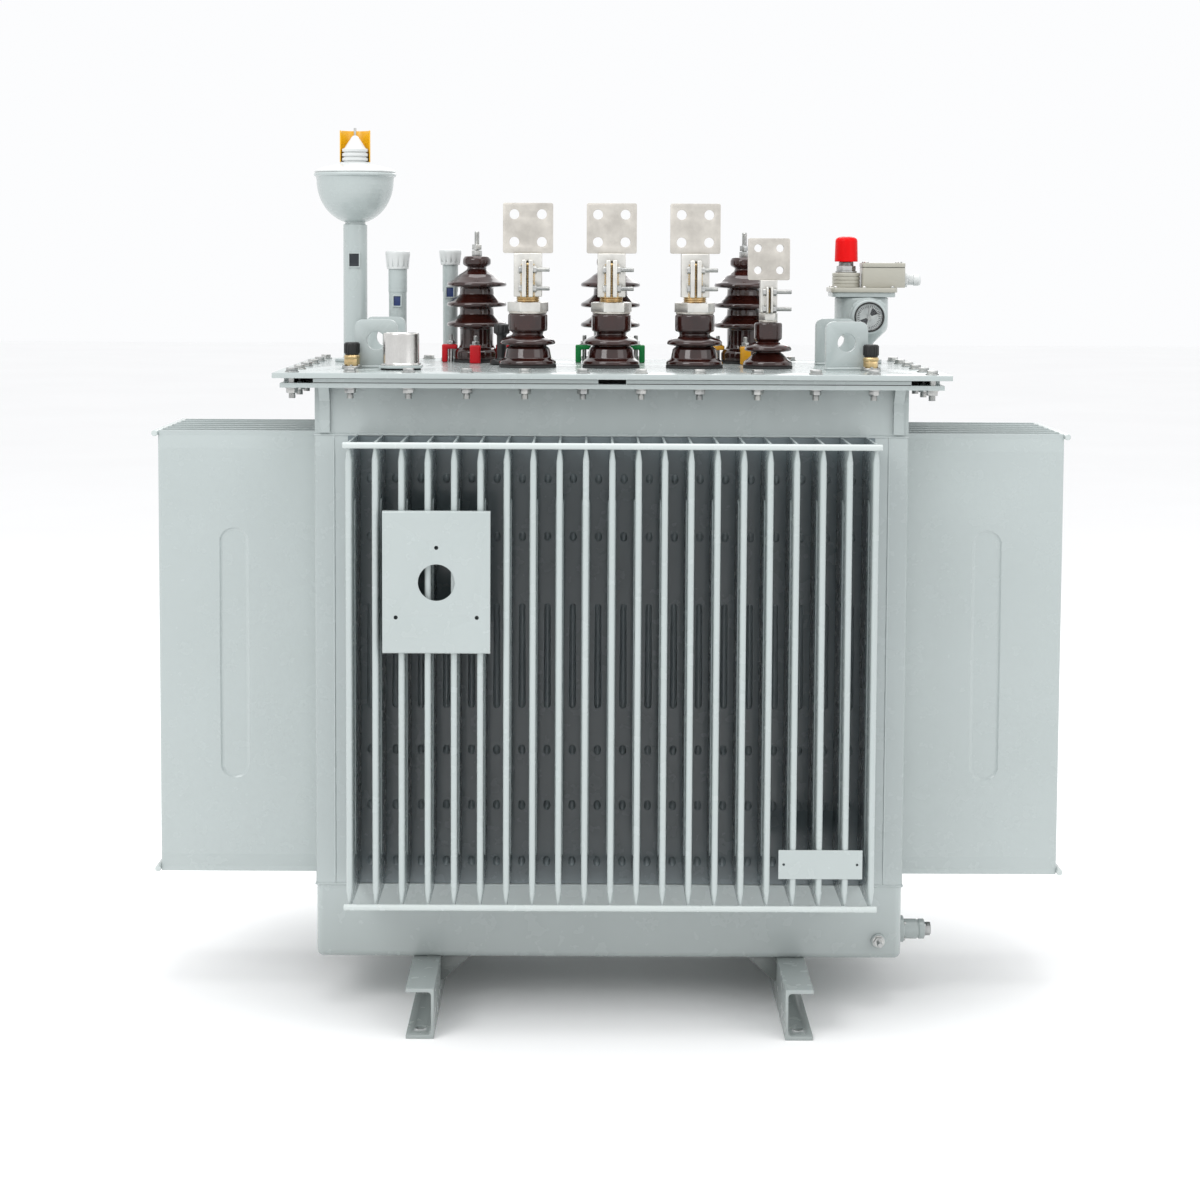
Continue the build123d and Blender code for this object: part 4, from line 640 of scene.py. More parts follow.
def fin_row(name, count, pitch, depth, half_width, ribs, slot, bosses, finish):
    """A whole corrugated wall facing the front, its sheet on y = 0."""
    sheet = slab((-half_width, -0.5, BASE_TOP), (half_width, 1.5, FINS_TOP))
    pieces = [painted(soften(sheet, 0.6, 1), finish)]
    first = -(count - 1) / 2 * pitch
    pattern = painted(pressed_fin(depth, ribs, slot), finish)
    pieces += repeated(pattern, [((first + i * pitch, 0, 0), None) for i in range(count)])
    for z, tall in bosses:
        # the bosses take the darker enamel copy: painted shade between the fins
        boss = painted(valley_boss(first + 0.5 * pitch, z, tall), BOSS_PAINTED_SHADE)
        pieces += [boss] + [copied(boss, (i * pitch, 0, 0)) for i in range(1, count - 1)]
    return joined(name, pieces)


def walls():
    ribs = [(98, 300, 920, 34, 1.2)]                # place, foot, top, width, height
    long_slot = (155, 390, 850, 58, 3.2)
    bosses = [(944, 2), (842, 2), (545, 172), (462, 3), (363, 3), (262, 3)]
    # the front fins take the enamel with painted light on the tips and painted shade between them
    front = fin_row("front_fins", FRONT_FINS, FRONT_PITCH, 160, HALF_L - 1, ribs, None, bosses,
                    FRONT_FIN_LIGHT_AND_SHADE)
    side = fin_row("side_fins", SIDE_FINS, SIDE_PITCH, 290, HALF_D - 3, [], long_slot, bosses,
                   GREY)
    rear, right, left = copied(front, turn=turn_z(180)), *[copied(side, turn=turn_z(turn))
                                                           for turn in (90, -90)]
    bpy.data.objects.remove(side)
    for piece, x, y, name in ((front, 0, -HALF_D, "front"), (rear, 0, HALF_D, "rear"),
                              (left, -HALF_L, 0, "left"), (right, HALF_L, 0, "right")):
        placed(piece, x, y).name = name + "_fins"
        fit(piece, "transformer", "tank_paint", name + "_wall")


walls()


def weld(start, end, thick=5.0):
    """A hand-laid bead between two points: a bar in short lengths, each swollen differently."""
    start = Vector(start)
    end = Vector(end)
    run = end - start
    count = max(4, int(run.length / 9))
    bead = post(thick / 2, run.length, sides=8)
    slice_at(bead, *[((0, 0, (i / count - 0.5) * run.length), UP) for i in range(1, count)])
    for v in bead.data.vertices:
        step = round((v.co.z / (run.length * MM) + 0.5) * count)
        swell = 0.82 + 0.30 * ((step * 7919) % 13) / 13
        v.co.x *= swell
        v.co.y *= swell
    turn = run.to_track_quat("Z", "Y").to_euler()
    return smooth(placed(bead, *((start + end) / 2), turn))


def weld_beads():
    beads = []
    for z in (BASE_TOP, FINS_TOP):
        beads += [weld((-HALF_L, y, z), (HALF_L, y, z)) for y in (-HALF_D, HALF_D)]
        beads += [weld((x, -HALF_D, z), (x, HALF_D, z)) for x in (-HALF_L, HALF_L)]
    for reach, foot, top in ((486, BASE_TOP, FINS_TOP), (HALF_L - 26, FINS_TOP + 8, FLANGE_UNDER)):
        beads += [weld((x, y, foot), (x, y, top), 3.4)
                  for x in (-reach, reach) for y in (-HALF_D, HALF_D)]
    fit(joined("weld_beads", beads, GREY), "transformer", "tank_paint")


weld_beads()


# --- lid and its bolts -------------------------------------------------------------------------
def lid_plate():
    """The lid with its edges eased and its pipe openings bored through."""
    cover = plate(*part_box("lid"))
    for (x, y), radius in ((VENT, STEM_BORE), (FILLER_LEFT, 14), (FILLER_RIGHT, 11.2), (RELAY, 19),
                           (RELIEF, 14), (KNOB, 6.2), ((-POCKET_X, POCKET_Y), 9),
                           ((POCKET_X, POCKET_Y), 9)):
        bored(cover, x, y, radius, LID_TOP - 30, LID_TOP + 20)
    soften(cover, 1.2, 2)
    fit(painted(cover, GREY), "transformer", "tank_paint", "lid").name = "lid_plate"


def seams():
    """Dark strips above and below the spacer strips, all round the flange: painted shade in the
    joints.
    """
    half_x, half_y = span("tank_flange")[1].xy
    low, high = (corner.z for corner in span("lid_spacers"))
    corner, bite, proud, half = 58, 6, 0.25, 0.7
    strips = []
    for z in (low + half, high - half):
        for side in (-1, 1):
            y = sorted((side * (half_y - bite), side * (half_y + proud)))
            for end in (-1, 1):
                x = sorted((end * 25, end * (half_x - corner)))
                strips.append(slab((x[0], y[0], z - half), (x[1], y[1], z + half)))
            x = sorted((side * (half_x - bite), side * (half_x + proud)))
            strips.append(slab((x[0], corner - half_y, z - half),
                               (x[1], half_y - corner, z + half)))
    strips = [soften(strip, 0.3, 2) for strip in strips]
    # dark strips standing for the shadow lines in the joints: painted shade
    fit(joined("flange_seam_shadows", strips, RUBBER), "transformer", "gasket_rubber")


def hexagon_block(across, height, crown, foot=0.0):
    """A hexagon nut or head, its corners turned off at the top."""
    radius = across / math.sqrt(3)
    block = post(radius, height, (0, 0, foot + height / 2), 6, (0, 0, math.radians(30)))
    pick(block, "FACE", lambda face: face.normal.z > 0.5)
    bpy.ops.mesh.inset(thickness=radius * 0.12 * MM)
    bpy.ops.transform.translate(value=(0, 0, crown * MM))
    done()
    return soften(block, 0.5, 2, 20)


def thread(radius, foot, top, pitch=1.75, sides=16):
    """The threaded end of a bolt, cut with a groove for each turn."""
    points = [(radius * 0.5, foot)]
    turns = max(2, int((top - foot - 1) / pitch))
    for i in range(turns):
        z = foot + i * pitch
        points += [(radius, z), (radius, z + pitch * 0.45), (radius * 0.90, z + pitch * 0.72)]
    points += [(radius, foot + turns * pitch), (radius * 0.8, top)]
    return turned(points, 0, 0, steps=sides, ease=0.05, even=25)


def lid_bolts():
    under = FLANGE_UNDER
    parts = [washer(0, 0, LID_TOP, 3, 12, 2.2), placed(hexagon_block(18, 5.4, 0.4, 2.2), z=LID_TOP),
             washer(0, 0, under - 2, 3, 12, 2),
             placed(hexagon_block(18, 7.6, 0.4), z=under - 2, turn=(math.pi, 0, 0)),
             thread(6, under - 19, under - 9.5),
             turned([(5.8, under - 1), (5.8, LID_TOP + 0.5)], 0, 0, steps=16, ease=0.1)]
    places = [(-BOLT_X + i * 2 * BOLT_X / 11, side * BOLT_Y) for i in range(12) for side in (-1, 1)]
    places += [(side * BOLT_X, -BOLT_Y + i * 2 * BOLT_Y / 5)
               for i in range(1, 5) for side in (-1, 1)]
    bolts = repeated(joined("lid_bolt", parts, ZINC),
                     [((x, y, 0), turn_z((i * 37) % 60)) for i, (x, y) in enumerate(places)])
    fit(joined("lid_bolts", bolts, ZINC), "transformer", "zinc_steel", "lid_fasteners")


def lifting_eyes():
    """Lugs: plates with round shoulders, an eased eye and a weld along each foot."""
    body = slab((-38, -6, LID_TOP), (38, 6, LID_TOP + 87))
    through = runs(1, 10)
    trimmed(body, lambda e: through(e) and e.verts[0].co.z > (LID_TOP + 80) * MM, 14, 6)
    cut_away(body, post(16.5, 50, (0, 0, LID_TOP + 49), 40, FRONT))
    soften(body, 1.2, 2)
    welds = [weld((-38, y, LID_TOP + 2), (38, y, LID_TOP + 2), 6) for y in (-7, 7)]
    lugs = repeated(joined("lug", [body] + welds),
                    [((x * 424, y * 95, 0), None) for x in (-1, 1) for y in (-1, 1)])
    fit(joined("lifting_eyes", lugs, GREY), "transformer", "tank_paint", "lifting_lugs")


lid_plate()
seams()
lid_bolts()
lifting_eyes()


# --- porcelain ---------------------------------------------------------------------------------
SEAT = LID_TOP + 5


def squat_porcelain(x, drum, shed, base, shed_z, foot_z, top_z):
    waist = drum * 0.76
    outline = [(base - 14, SEAT - 1), (base - 1, SEAT), (base, SEAT + 3), (base - 1, SEAT + 7),
               (base - 9, SEAT + 13), (drum + 4, shed_z - 15), (drum - 3, shed_z - 10),
               (shed - 6, shed_z - 9), (shed - 0.5, shed_z - 7), (shed, shed_z - 4),
               (shed - 2, shed_z), (shed - 9, shed_z + 4), (waist + 4, shed_z + 8),
               (waist, foot_z - 7), (waist + 1, foot_z - 3), (drum - 0.8, foot_z),
               (drum, foot_z + 3), (drum, top_z - 3), (drum - 2.5, top_z), (drum * 0.5, top_z)]
    return turned(outline, x, LOW_Y, steps=64, ease=2.2, even=60)


def tall_porcelain(x):
    outline = [(30, -1), (42, 0), (43, 4), (43, 15), (39, 20), (34, 23), (31.5, 30)]
    for z in (72, 110, 148):
        outline += [(31.5, z - 13), (34, z - 11), (46, z - 10), (54.5, z - 9), (57, z - 6),
                    (55.5, z - 1.5), (48, z + 2.5), (38, z + 9), (32.5, z + 14)]
    outline += [(29, 164), (19, 171), (17.5, 175), (24.5, 179), (26.5, 182), (26.5, 190),
                (23, 196), (12, 197)]
    return turned([(radius, SEAT + z) for radius, z in outline], x, TALL_Y, steps=64, ease=1.8,
                  even=60)


squat = [squat_porcelain(x, 36, 50.5, 52, LID_TOP + 50, LID_TOP + 67, LID_TOP + 98)
         for x in PHASE_X]
squat.append(squat_porcelain(NEUTRAL_X, 25.5, 43, 45, LID_TOP + 40, LID_TOP + 53, LID_TOP + 84))
fit(joined("squat_bushings", squat, BROWN), "transformer", "porcelain", "lv_porcelain")
tall = [tall_porcelain(x) for x in TALL_X]
fit(joined("tall_bushings", tall, BROWN), "transformer", "porcelain", "hv_porcelain")


# --- terminals ---------------------------------------------------------------------------------
def flag(x, y, wide, foot, top, size, hole, pitch):
    """A flag plate on a split clamp: jaws with a slot, ears, and bright machined lips."""
    half = wide / 2
    body = slab((x - half, y - half * 0.62, foot), (x + half, y + half, top))
    cut_away(body, slab((x - 1.6, y - 60, foot - 5), (x + 1.6, y, top - 14)))
    parts = [soften(body, 2.2, 3)]
    for side in (-1, 1):
        inner, outer = sorted((side * 2.0, side * wide * 0.20))
        ear = slab((x + inner, y - half - 18, foot), (x + outer, y - half * 0.4, top - 12))
        parts.append(soften(ear, 1.8, 3))
    parts.append(soften(slab((x - half, y - 5, top - 4), (x + half, y + 5, top + 5)), 1, 2))
    face = slab((x - size / 2, y - 6, top), (x + size / 2, y + 6, top + size))
    trimmed(face, runs(1, 10), 3.5, 4)
    for dx in (-pitch / 2, pitch / 2):
        for dz in (-pitch / 2, pitch / 2):
            cut_away(face, post(hole / 2, 60, (x + dx, y, top + size / 2 + dz), 40, FRONT))
    face = painted(soften(face, 0.7, 2), TINNED)
    return joined("flag", [face] + [painted(part, TINNED_SIDE) for part in parts])


def clamp_screws(x, y, wide, foot, top):
    """Two screws through the ears with hexagon heads, nuts and long threaded ends."""
    parts = []
    middle = foot + (top - foot - 14) / 2
    reach = min(34, top - foot - 28) / 2
    outer = wide * 0.20
    for z in (middle - reach, middle + reach):
        for part, way in ((hexagon_block(13, 5.5, 0.4, outer), -1),
                          (hexagon_block(13, 6.0, 0.4, outer), 1),
                          (thread(4, outer, 40, 1.25, 14), 1)):
            parts.append(placed(part, x, y - wide / 2 - 9, z, (0, way * math.radians(90), 0)))
    return parts


def flags():
    rows = [(x, 51, LID_TOP + 128.5, LID_TOP + 207.5, 91, 18, 50) for x in PHASE_X]
    rows.append((NEUTRAL_X, 31, LID_TOP + 101.5, LID_TOP + 160.5, 76, 14, 40))
    plates, screws = [], []
    for x, wide, foot, top, size, hole, pitch in rows:
        plates.append(flag(x, LOW_Y, wide, foot, top, size, hole, pitch))
        screws += clamp_screws(x, LOW_Y, wide, foot, top)
    fit(joined("flag_terminals", plates), "transformer", "tinned_metal", "lv_terminals")
    fit(joined("clamp_screws", screws, ZINC), "transformer", "zinc_steel", "terminal_screws")


def stud_nuts():
    parts = []
    rows = [(x, 65, LID_TOP + 98, 18) for x in PHASE_X] + [(NEUTRAL_X, 30, LID_TOP + 84, 14)]
    for x, across, seat, tall in rows:
        ring = washer(x, LOW_Y, seat, across * 0.3, across / 2 + 2, 3.5, 48, 0.8)
        nut = hexagon_block(across, tall - 1.2, 1.2, 3.5)
        placed(nut, x, LOW_Y, seat, (0, 0, math.radians(8)))
        parts += [painted(ring, TINNED), painted(nut, TINNED_SIDE)]
    for x in TALL_X:
        for foot, turn in ((0, 6), (11.5, 24)):
            nut = hexagon_block(17, 9.6, 0.4, foot)
            placed(nut, x, TALL_Y, LID_TOP + 202, (0, 0, math.radians(turn)))
            parts.append(painted(nut, ZINC))
    fit(joined("stud_nuts", parts), "transformer", "tinned_metal", "bushing_nuts")


def studs():
    big = [(12, LID_TOP - 69), (20.6, LID_TOP - 68), (20.6, LID_TOP + 98)]
    parts = [turned(big, x, LOW_Y, steps=32, ease=0.2) for x in PHASE_X]
    parts += [placed(thread(20.8, LID_TOP + 97, LID_TOP + 190, 3, 32), x, LOW_Y) for x in PHASE_X]
    parts.append(placed(thread(9.9, LID_TOP - 69, LID_TOP + 144, 2, 20), NEUTRAL_X, LOW_Y))
    fit(joined("brass_studs", parts, BRASS), "transformer", "stud_brass", "lv_studs")
    thin = [(3, LID_TOP - 89), (4.9, LID_TOP - 88), (4.9, LID_TOP + 202)]
    parts = []
    for x in TALL_X:
        parts += [turned(thin, x, TALL_Y, steps=16, ease=0.2),
                  placed(thread(4.75, LID_TOP + 201, LID_TOP + 248, 1.5, 16), x, TALL_Y)]
    fit(joined("thin_studs", parts, ZINC), "transformer", "zinc_steel", "hv_studs")


flags()
stud_nuts()
studs()


# --- clamp claws -------------------------------------------------------------------------------
def claw():
    """An L-shaped claw dipped in plastic, thick and round at its edges."""
    body = slab((36.5, -10, LID_TOP), (66, 10, LID_TOP + 34))
    return soften(cut_away(body, slab((30, -20, LID_TOP - 5), (55.2, 20, LID_TOP + 25.2))), 2.4, 3)


def claw_bolt():
    out, top = 49, LID_TOP + 34
    return joined("claw_bolt", [
        washer(out, 0, top, 3, 9.5, 1.6, 20, 0.4),
        placed(hexagon_block(13, 5.6, 0.4, 1.6), out, 0, top),
        placed(thread(4, top + 7, top + 18, 1.25, 12), out),
        turned([(3.9, LID_TOP), (3.9, top + 1)], out, 0, steps=12, ease=0.1)])


def claws():
    bolts = []
    for x, colour, finish in zip(TALL_X, ("red", "green", "yellow"),
                                 (CLAW_RED, CLAW_GREEN, CLAW_YELLOW)):
        quarters = [((x, TALL_Y, 0), turn_z(i * 90)) for i in range(4)]
        four = joined("claws_" + colour, repeated(claw(), quarters), finish)
        fit(four, "transformer", colour + "_plastic", "hv_claws_" + colour)
        bolts += repeated(claw_bolt(), quarters)
    fit(joined("claw_bolts", bolts, ZINC), "transformer", "zinc_steel", "hv_clamp_bolts")


claws()


# --- vent, fillers and cup ---------------------------------------------------------------------
def window(x, y, radius, middle, tall, wide):
    """A framed sight glass let into the front of a pipe."""
    low, high, face, half = middle - tall / 2, middle + tall / 2, y - radius, wide / 2
    rim = slab((x - half - 2.5, face - 1.6, low - 2.5), (x + half + 2.5, face + 2.4, high + 2.5))
    cut_away(rim, slab((x - half, face - 9, low), (x + half, face + 5, high)))
    return soften(rim, 0.5, 2)


def glass_pane(x, y, radius, middle, tall, wide, finish):
    """The pane behind that frame, slightly bowed like the pipe."""
    face = y - radius
    pane = slab((x - wide / 2, face + 0.4, middle - tall / 2),
                (x + wide / 2, face + 1.6, middle + tall / 2))
    slice_at(pane, *[((x + side * wide / 6, 0, 0), (1, 0, 0)) for side in (-1, 1)])
    shifted(pane, lambda v: abs(v.co.x - x * MM) < wide / 5 * MM and v.co.y < (face + 1) * MM,
            (0, -0.8, 0))
    return painted(soften(pane, 0.3, 2), finish)


def vent():
    x, y = VENT
    foot = LID_TOP
    neck = foot + 262
    lip = neck + 96
    sight = (x, y, STEM_RADIUS, foot + 193, 24, 18)
    stem = turned([(19, foot), (39, foot), (39, foot + 6), (25, foot + 6.5),
                   (STEM_RADIUS, foot + 10), (STEM_RADIUS, neck - 2), (19, neck)], x, y, ease=1.5)
    port = slab((x - 9, y - 30, foot + 181), (x + 9, y - 15, foot + 205))
    cut_away(bored(stem, x, y, STEM_BORE, foot - 5, neck + 5), port)
    curve = [(20, neck - 4)]
    for step in range(13):
        turn = math.radians(-76 + step * 76 / 12)
        curve.append((71.5 * math.cos(turn) + 1.5, lip - 14 + 82 * math.sin(turn)))
    curve += [(74, lip - 8), (77.4, lip - 6.5), (78, lip - 3), (76.5, lip), (70, lip)]
    bowl = turned(curve, x, y, steps=72, ease=1.2, even=50)
    pot = joined("vent_bowl", [stem, bowl, window(*sight)], GREY)
    fit(pot, "transformer", "tank_paint", "vent_pot")
    cover = [(20, lip), (75, lip), (77, lip + 1.5), (76, lip + 4), (64, lip + 9),
             (46, lip + 13.5), (31, lip + 16), (28.5, lip + 17), (28.5, lip + 20)]
    groove = lip + 20
    for z in (groove, groove + 8.5, groove + 17):
        cover += [(21.5, z + 0.4), (21.5, z + 2.2), (24.5, z + 2.6), (24.5, z + 8.0)]
    cover += [(21.5, groove + 26), (20, groove + 27), (7, groove + 47), (4, groove + 50)]
    lid = painted(turned(cover, x, y, steps=56, ease=0.7, even=35), WHITE)
    fit(lid, "transformer", "white_plastic", "vent_lid").name = "vent_cover"
    guard = turned([(27.2, groove + 0.2), (29, groove + 0.2), (29, groove + 60),
                    (27.2, groove + 60)], x, y, ease=0.5)
    cut_away(guard, turned([(26.8, groove - 5), (26.8, groove + 65)], x, y, ease=0.1),
             slab((x - 40, y - 40, groove - 5), (x + 40, y - 2, groove + 70)))
    painted(soften(guard, 0.5, 2), YELLOW)
    fit(guard, "transformer", "yellow_plastic", "vent_guard").name = "yellow_guard"
    glass = glass_pane(*sight, SMOKED)
    fit(glass, "transformer", "white_plastic").name = "vent_sight_glass"


vent()


def filler(side, x, y, radius, cap_radius, cap_height, cap_top, glass_z):
    foot = LID_TOP
    top = foot + cap_top
    outline = [(radius - 3, foot), (radius + 4, foot), (radius + 4, foot + 5),
               (radius + 1.5, foot + 7), (radius, foot + 9), (radius, foot + 132),
               (radius + 0.8, foot + 133), (radius + 0.8, top - 8), (radius - 3, top - 8)]
    pipe = bored(turned(outline, x, y, ease=0.9), x, y, radius - 3, foot - 5, top + 5)
    pipe = joined("filler_" + side, [pipe, window(x, y, radius + 0.6, glass_z, 18, 13)], GREY)
    pane = glass_pane(x, y, radius + 0.4, glass_z, 18, 13, BLUE)
    fit(pane, "transformer", "blue_float").name = "filler_window_" + side
    skirt = top - cap_height
    outline = [(radius + 0.6, skirt), (cap_radius - 3.2, skirt), (cap_radius - 2.6, skirt + 3),
               (cap_radius, top - 6), (cap_radius - 0.5, top - 1.5), (cap_radius - 4, top),
               (4, top)]
    cap = turned(outline, x, y, steps=72, ease=1.6, even=30)
    bored(cap, x, y, radius + 1.1, skirt - 5, top - 7.6)
    dimples = around(x, y, cap_radius - 2.2, 12, 8)
    cut_away(cap, *[ball(1.7, (*place, skirt + 5)) for place in dimples])
    painted(cap, WHITE)
    fit(cap, "cap_" + side, "white_plastic", "filler_cap_" + side).name = "white_cap_" + side
    return pipe


pipes = [filler("left", *FILLER_LEFT, 17, 23.5, 35, 211, 1248),
         filler("right", *FILLER_RIGHT, 14.2, 21.5, 30, 214, 1264)]
fit(joined("filler_pipes_made", pipes, GREY), "transformer", "tank_paint", "filler_pipes")


def relief():
    """The bright cup with its rolled rim, on an eight-sided flange over a black seal."""
    x, y = RELIEF
    foot = LID_TOP + 8
    seal = turned([(20, 0), (35, 0), (35.5, 1.5), (35, 3), (20, 3)], x, y, LID_TOP, ease=0.5)
    base = slab((x - 38, y - 38, LID_TOP + 3), (x + 38, y + 38, foot))
    soften(trimmed(base, runs(2, 4), 18, 1), 1, 2)
    cup = turned([(20, foot), (35.5, foot), (36, foot + 1.2), (33.5, foot + 2.5), (32.3, foot + 4),
                  (32.3, foot + 53), (32.5, foot + 55), (31.6, foot + 57), (29.5, foot + 57),
                  (28, foot + 55.5), (6, foot + 55)], x, y, steps=96, ease=0.9, even=40)
    bored(cup, x, y, 30, foot - 5, foot + 54)
    bored(base, x, y, 14, foot - 20, foot + 5)
    bored(seal, x, y, 21, foot - 20, foot + 5)
    bolts = [painted(placed(hexagon_block(7, 2.4, 0.3), x + dx, y + dy, foot), ZINC)
             for dx, dy in ((-30, -22), (30, -22), (-30, 22), (30, 22))]
    parts = [painted(cup, POLISHED), painted(base, GREY), painted(seal, RUBBER)] + bolts
    fit(joined("relief_cup_made", parts), "transformer", "bright_cup", "relief_cup")


relief()


# --- thermometer pockets -----------------------------------------------------------------------
def pocket(side, x):
    y = POCKET_Y
    foot = LID_TOP
    top = foot + 25
    ring = turned([(8, foot), (17.6, foot), (18, foot + 1), (18, foot + 4), (17, foot + 5),
                   (13, foot + 5)], x, y, steps=36, ease=0.6)
    nut = placed(hexagon_block(24.5, 12, 0.8, foot + 5), x, y, 0, (0, 0, math.radians(12)))
    collar = turned([(8, foot + 17), (13, foot + 17), (14.3, foot + 19), (14.3, foot + 22),
                     (12, foot + 24.6), (7, top)], x, y, steps=36, ease=0.5)
    tube = turned([(3, foot - 140), (8, foot - 138), (8, foot)], x, y, steps=24, ease=0.5)
    spigot = turned([(4, foot + 24), (9, foot + 24), (9, foot + 34), (8, foot + 35),
                     (4, foot + 35)], x, y, steps=32, ease=0.5)
    screws = [painted(placed(hexagon_block(5, 2, 0.3, foot + 5), *place), ZINC)
              for place in around(x, y, 15.2, 3, 210, 60)]
    brass = [painted(part, BRASS) for part in (nut, collar, tube, spigot)]
    body = joined("pocket_" + side, [painted(ring, TURNED_STEEL)] + brass + screws)
    cap = turned([(9.6, top), (12.6, top), (12.6, top + 1.5), (13.4, top + 2.5),
                  (13.4, top + 19.5), (12.6, top + 21.5), (10, top + 22), (2, top + 22)],
                 x, y, steps=64, ease=0.7, even=30)
    bored(cap, x, y, 9.4, top - 5, top + 10.4)
    grip = soften(slab((12.5, -0.9, top + 2.5), (14.3, 0.9, top + 19.5)), 0.6, 2)
    grips = repeated(grip, [((x, y, 0), turn_z(i * 22.5)) for i in range(16)])
    cap = joined("black_cap_" + side, [cap] + grips, BLACK)
    fit(cap, "pocket_lid_" + side, "black_plastic", "pocket_cap_" + side)
    return body


pockets = [pocket("left", -POCKET_X), pocket("right", POCKET_X)]
fit(joined("pockets", pockets), "transformer", "stud_brass", "pocket_fittings")


# --- protection relay --------------------------------------------------------------------------
DECK = LID_TOP + 127
DIAL = (489, RELAY[1] - 55, LID_TOP + 90)
STACK_X = 451


def relay_casting():
    x, y = RELAY
    foot = LID_TOP
    dial_x, _, dial_z = DIAL
    chamber = turned([(12, foot), (39, foot), (40, foot + 1.5), (40, foot + 7), (38, foot + 8),
                      (24, foot + 9), (22, foot + 13), (22, foot + 34), (25, foot + 40),
                      (38, foot + 53), (48, foot + 62), (51, foot + 72), (51, DECK - 1),
                      (20, DECK)], x, y, steps=72, ease=3, even=50)
    boss = turned([(10, 0), (37, 0), (37, 38), (34, 42), (10, 42)], dial_x, y - 10, dial_z,
                  steps=56, ease=1.5, turn=FRONT)
    under = slab((x - 60, y - 48, DECK), (x + 60, y + 48, DECK + 9))
    over = slab((x - 63.5, y - 52, DECK + 9), (x + 63.5, y + 52, DECK + 18))
    for block, corner in ((under, 12), (over, 14)):
        soften(trimmed(block, runs(2, 7), corner, 5), 1.2, 2)
    top = DECK + 18
    stack = [(10, top)]
    for z in (top, top + 7, top + 14, top + 21):
        stack += [(26.5, z + 0.3), (26.5, z + 6), (25.2, z + 6.4), (25.2, z + 6.9)]
    stack += [(24, top + 28), (10, top + 28)]
    rings = turned(stack, STACK_X, y, steps=56, ease=0.5)
    collar = turned([(10, top + 28), (20, top + 28), (20.5, top + 29), (20.5, top + 31),
                     (10, top + 32)], STACK_X, y, ease=0.4)
    nut = placed(hexagon_block(32, 10, 0.8, top + 31), STACK_X, y)
    neck = placed(thread(14.4, top + 40, top + 49.5, 2, 28), STACK_X, y)
    spigot = turned([(4, top + 49), (10, top + 49), (10, top + 66), (4, top + 67)], STACK_X, y,
                    steps=28, ease=0.6)
    screws = [turned([(1, 0), (4.2, 0), (4.2, 1.4), (2.6, 3), (1, 3.2)], x + dx, y + dy, top,
                     steps=16, ease=0.5)
              for dx, dy in ((-54, -42), (54, -42), (-54, 42), (54, 42), (0, -44))]
    parts = []
    for finish, group in ((GREY, (chamber, boss, under)), (BEIGE, (over, rings)),
                          (TURNED_STEEL, (collar, neck, spigot)), (ZINC, (nut, *screws))):
        parts += [painted(part, finish) for part in group]
    fit(joined("relay_casting", parts), "transformer", "tank_paint", "relay_body")

    foot = top + 49
    cap = turned([(11, foot), (21.6, foot), (22, foot + 1), (22, foot + 5), (21, foot + 40),
                  (19.6, foot + 44), (16, foot + 46.4), (9, foot + 48), (2, foot + 48)],
                 STACK_X, y, steps=64, ease=2.4, even=50)
    bored(cap, STACK_X, y, 10.4, foot - 5, foot + 18.4)
    fit(painted(cap, RED), "red_cap", "red_plastic", "relay_cap").name = "red_cover"


def relay_dial():
    x, y, z = DIAL
    face_on = {"ease": 0.5, "turn": FRONT}
    ring = turned([(20, 0), (28.4, 0), (28.4, 11.6), (27.6, 12), (25.9, 12), (25.4, 10),
                   (25.4, 4), (2, 4)], *DIAL, steps=72, even=30, **face_on)
    bezel = turned([(29, 0.2), (33, 0.2), (33, 8), (31.8, 9.6), (29, 10.2)], *DIAL, steps=64,
                   ease=0.6, turn=FRONT)
    cut_away(bezel, turned([(28.3, -5), (28.3, 15)], *DIAL, steps=64, ease=0.1, turn=FRONT))
    ear = slab((x - 10, y - 6, z - 7), (x + 10, y, z + 7))
    soften(trimmed(ear, runs(1, 4), 5, 4), 0.7, 2)
    screw = turned([(1, 6), (3.2, 6), (3.2, 7.2), (2, 8), (1, 8)], *DIAL, steps=14, ease=0.3,
                   turn=FRONT)
    pattern = joined("ear", [ear, screw], GREY)
    out, lift = 31 * math.cos(math.radians(48)), 31 * math.sin(math.radians(48))
    ears = [copied(pattern, (side * out, 0, lift), Matrix.Rotation(math.radians(side * 42), 3, "Y"),
                   DIAL) for side in (-1, 1)]
    bpy.data.objects.remove(pattern)
    face = turned([(2, 4.1), (24.8, 4.1), (24.8, 4.3), (2, 4.4)], *DIAL, steps=64, ease=0.05,
                  turn=FRONT)
    painted(face, dial_print(metres(DIAL)))
    dial = joined("relay_dial_made", [painted(ring, BLACK), painted(bezel, GREY), face] + ears)
    fit(dial, "transformer", "black_plastic", "relay_dial")
    cover = turned([(2, 9.8), (25, 9.8), (25, 10.6), (14, 11.4), (2, 11.6)], *DIAL, steps=64,
                   ease=0.3, turn=FRONT)
    fit(painted(cover, GLASS), "transformer", "black_plastic").name = "dial_glass"


relay_casting()
relay_dial()


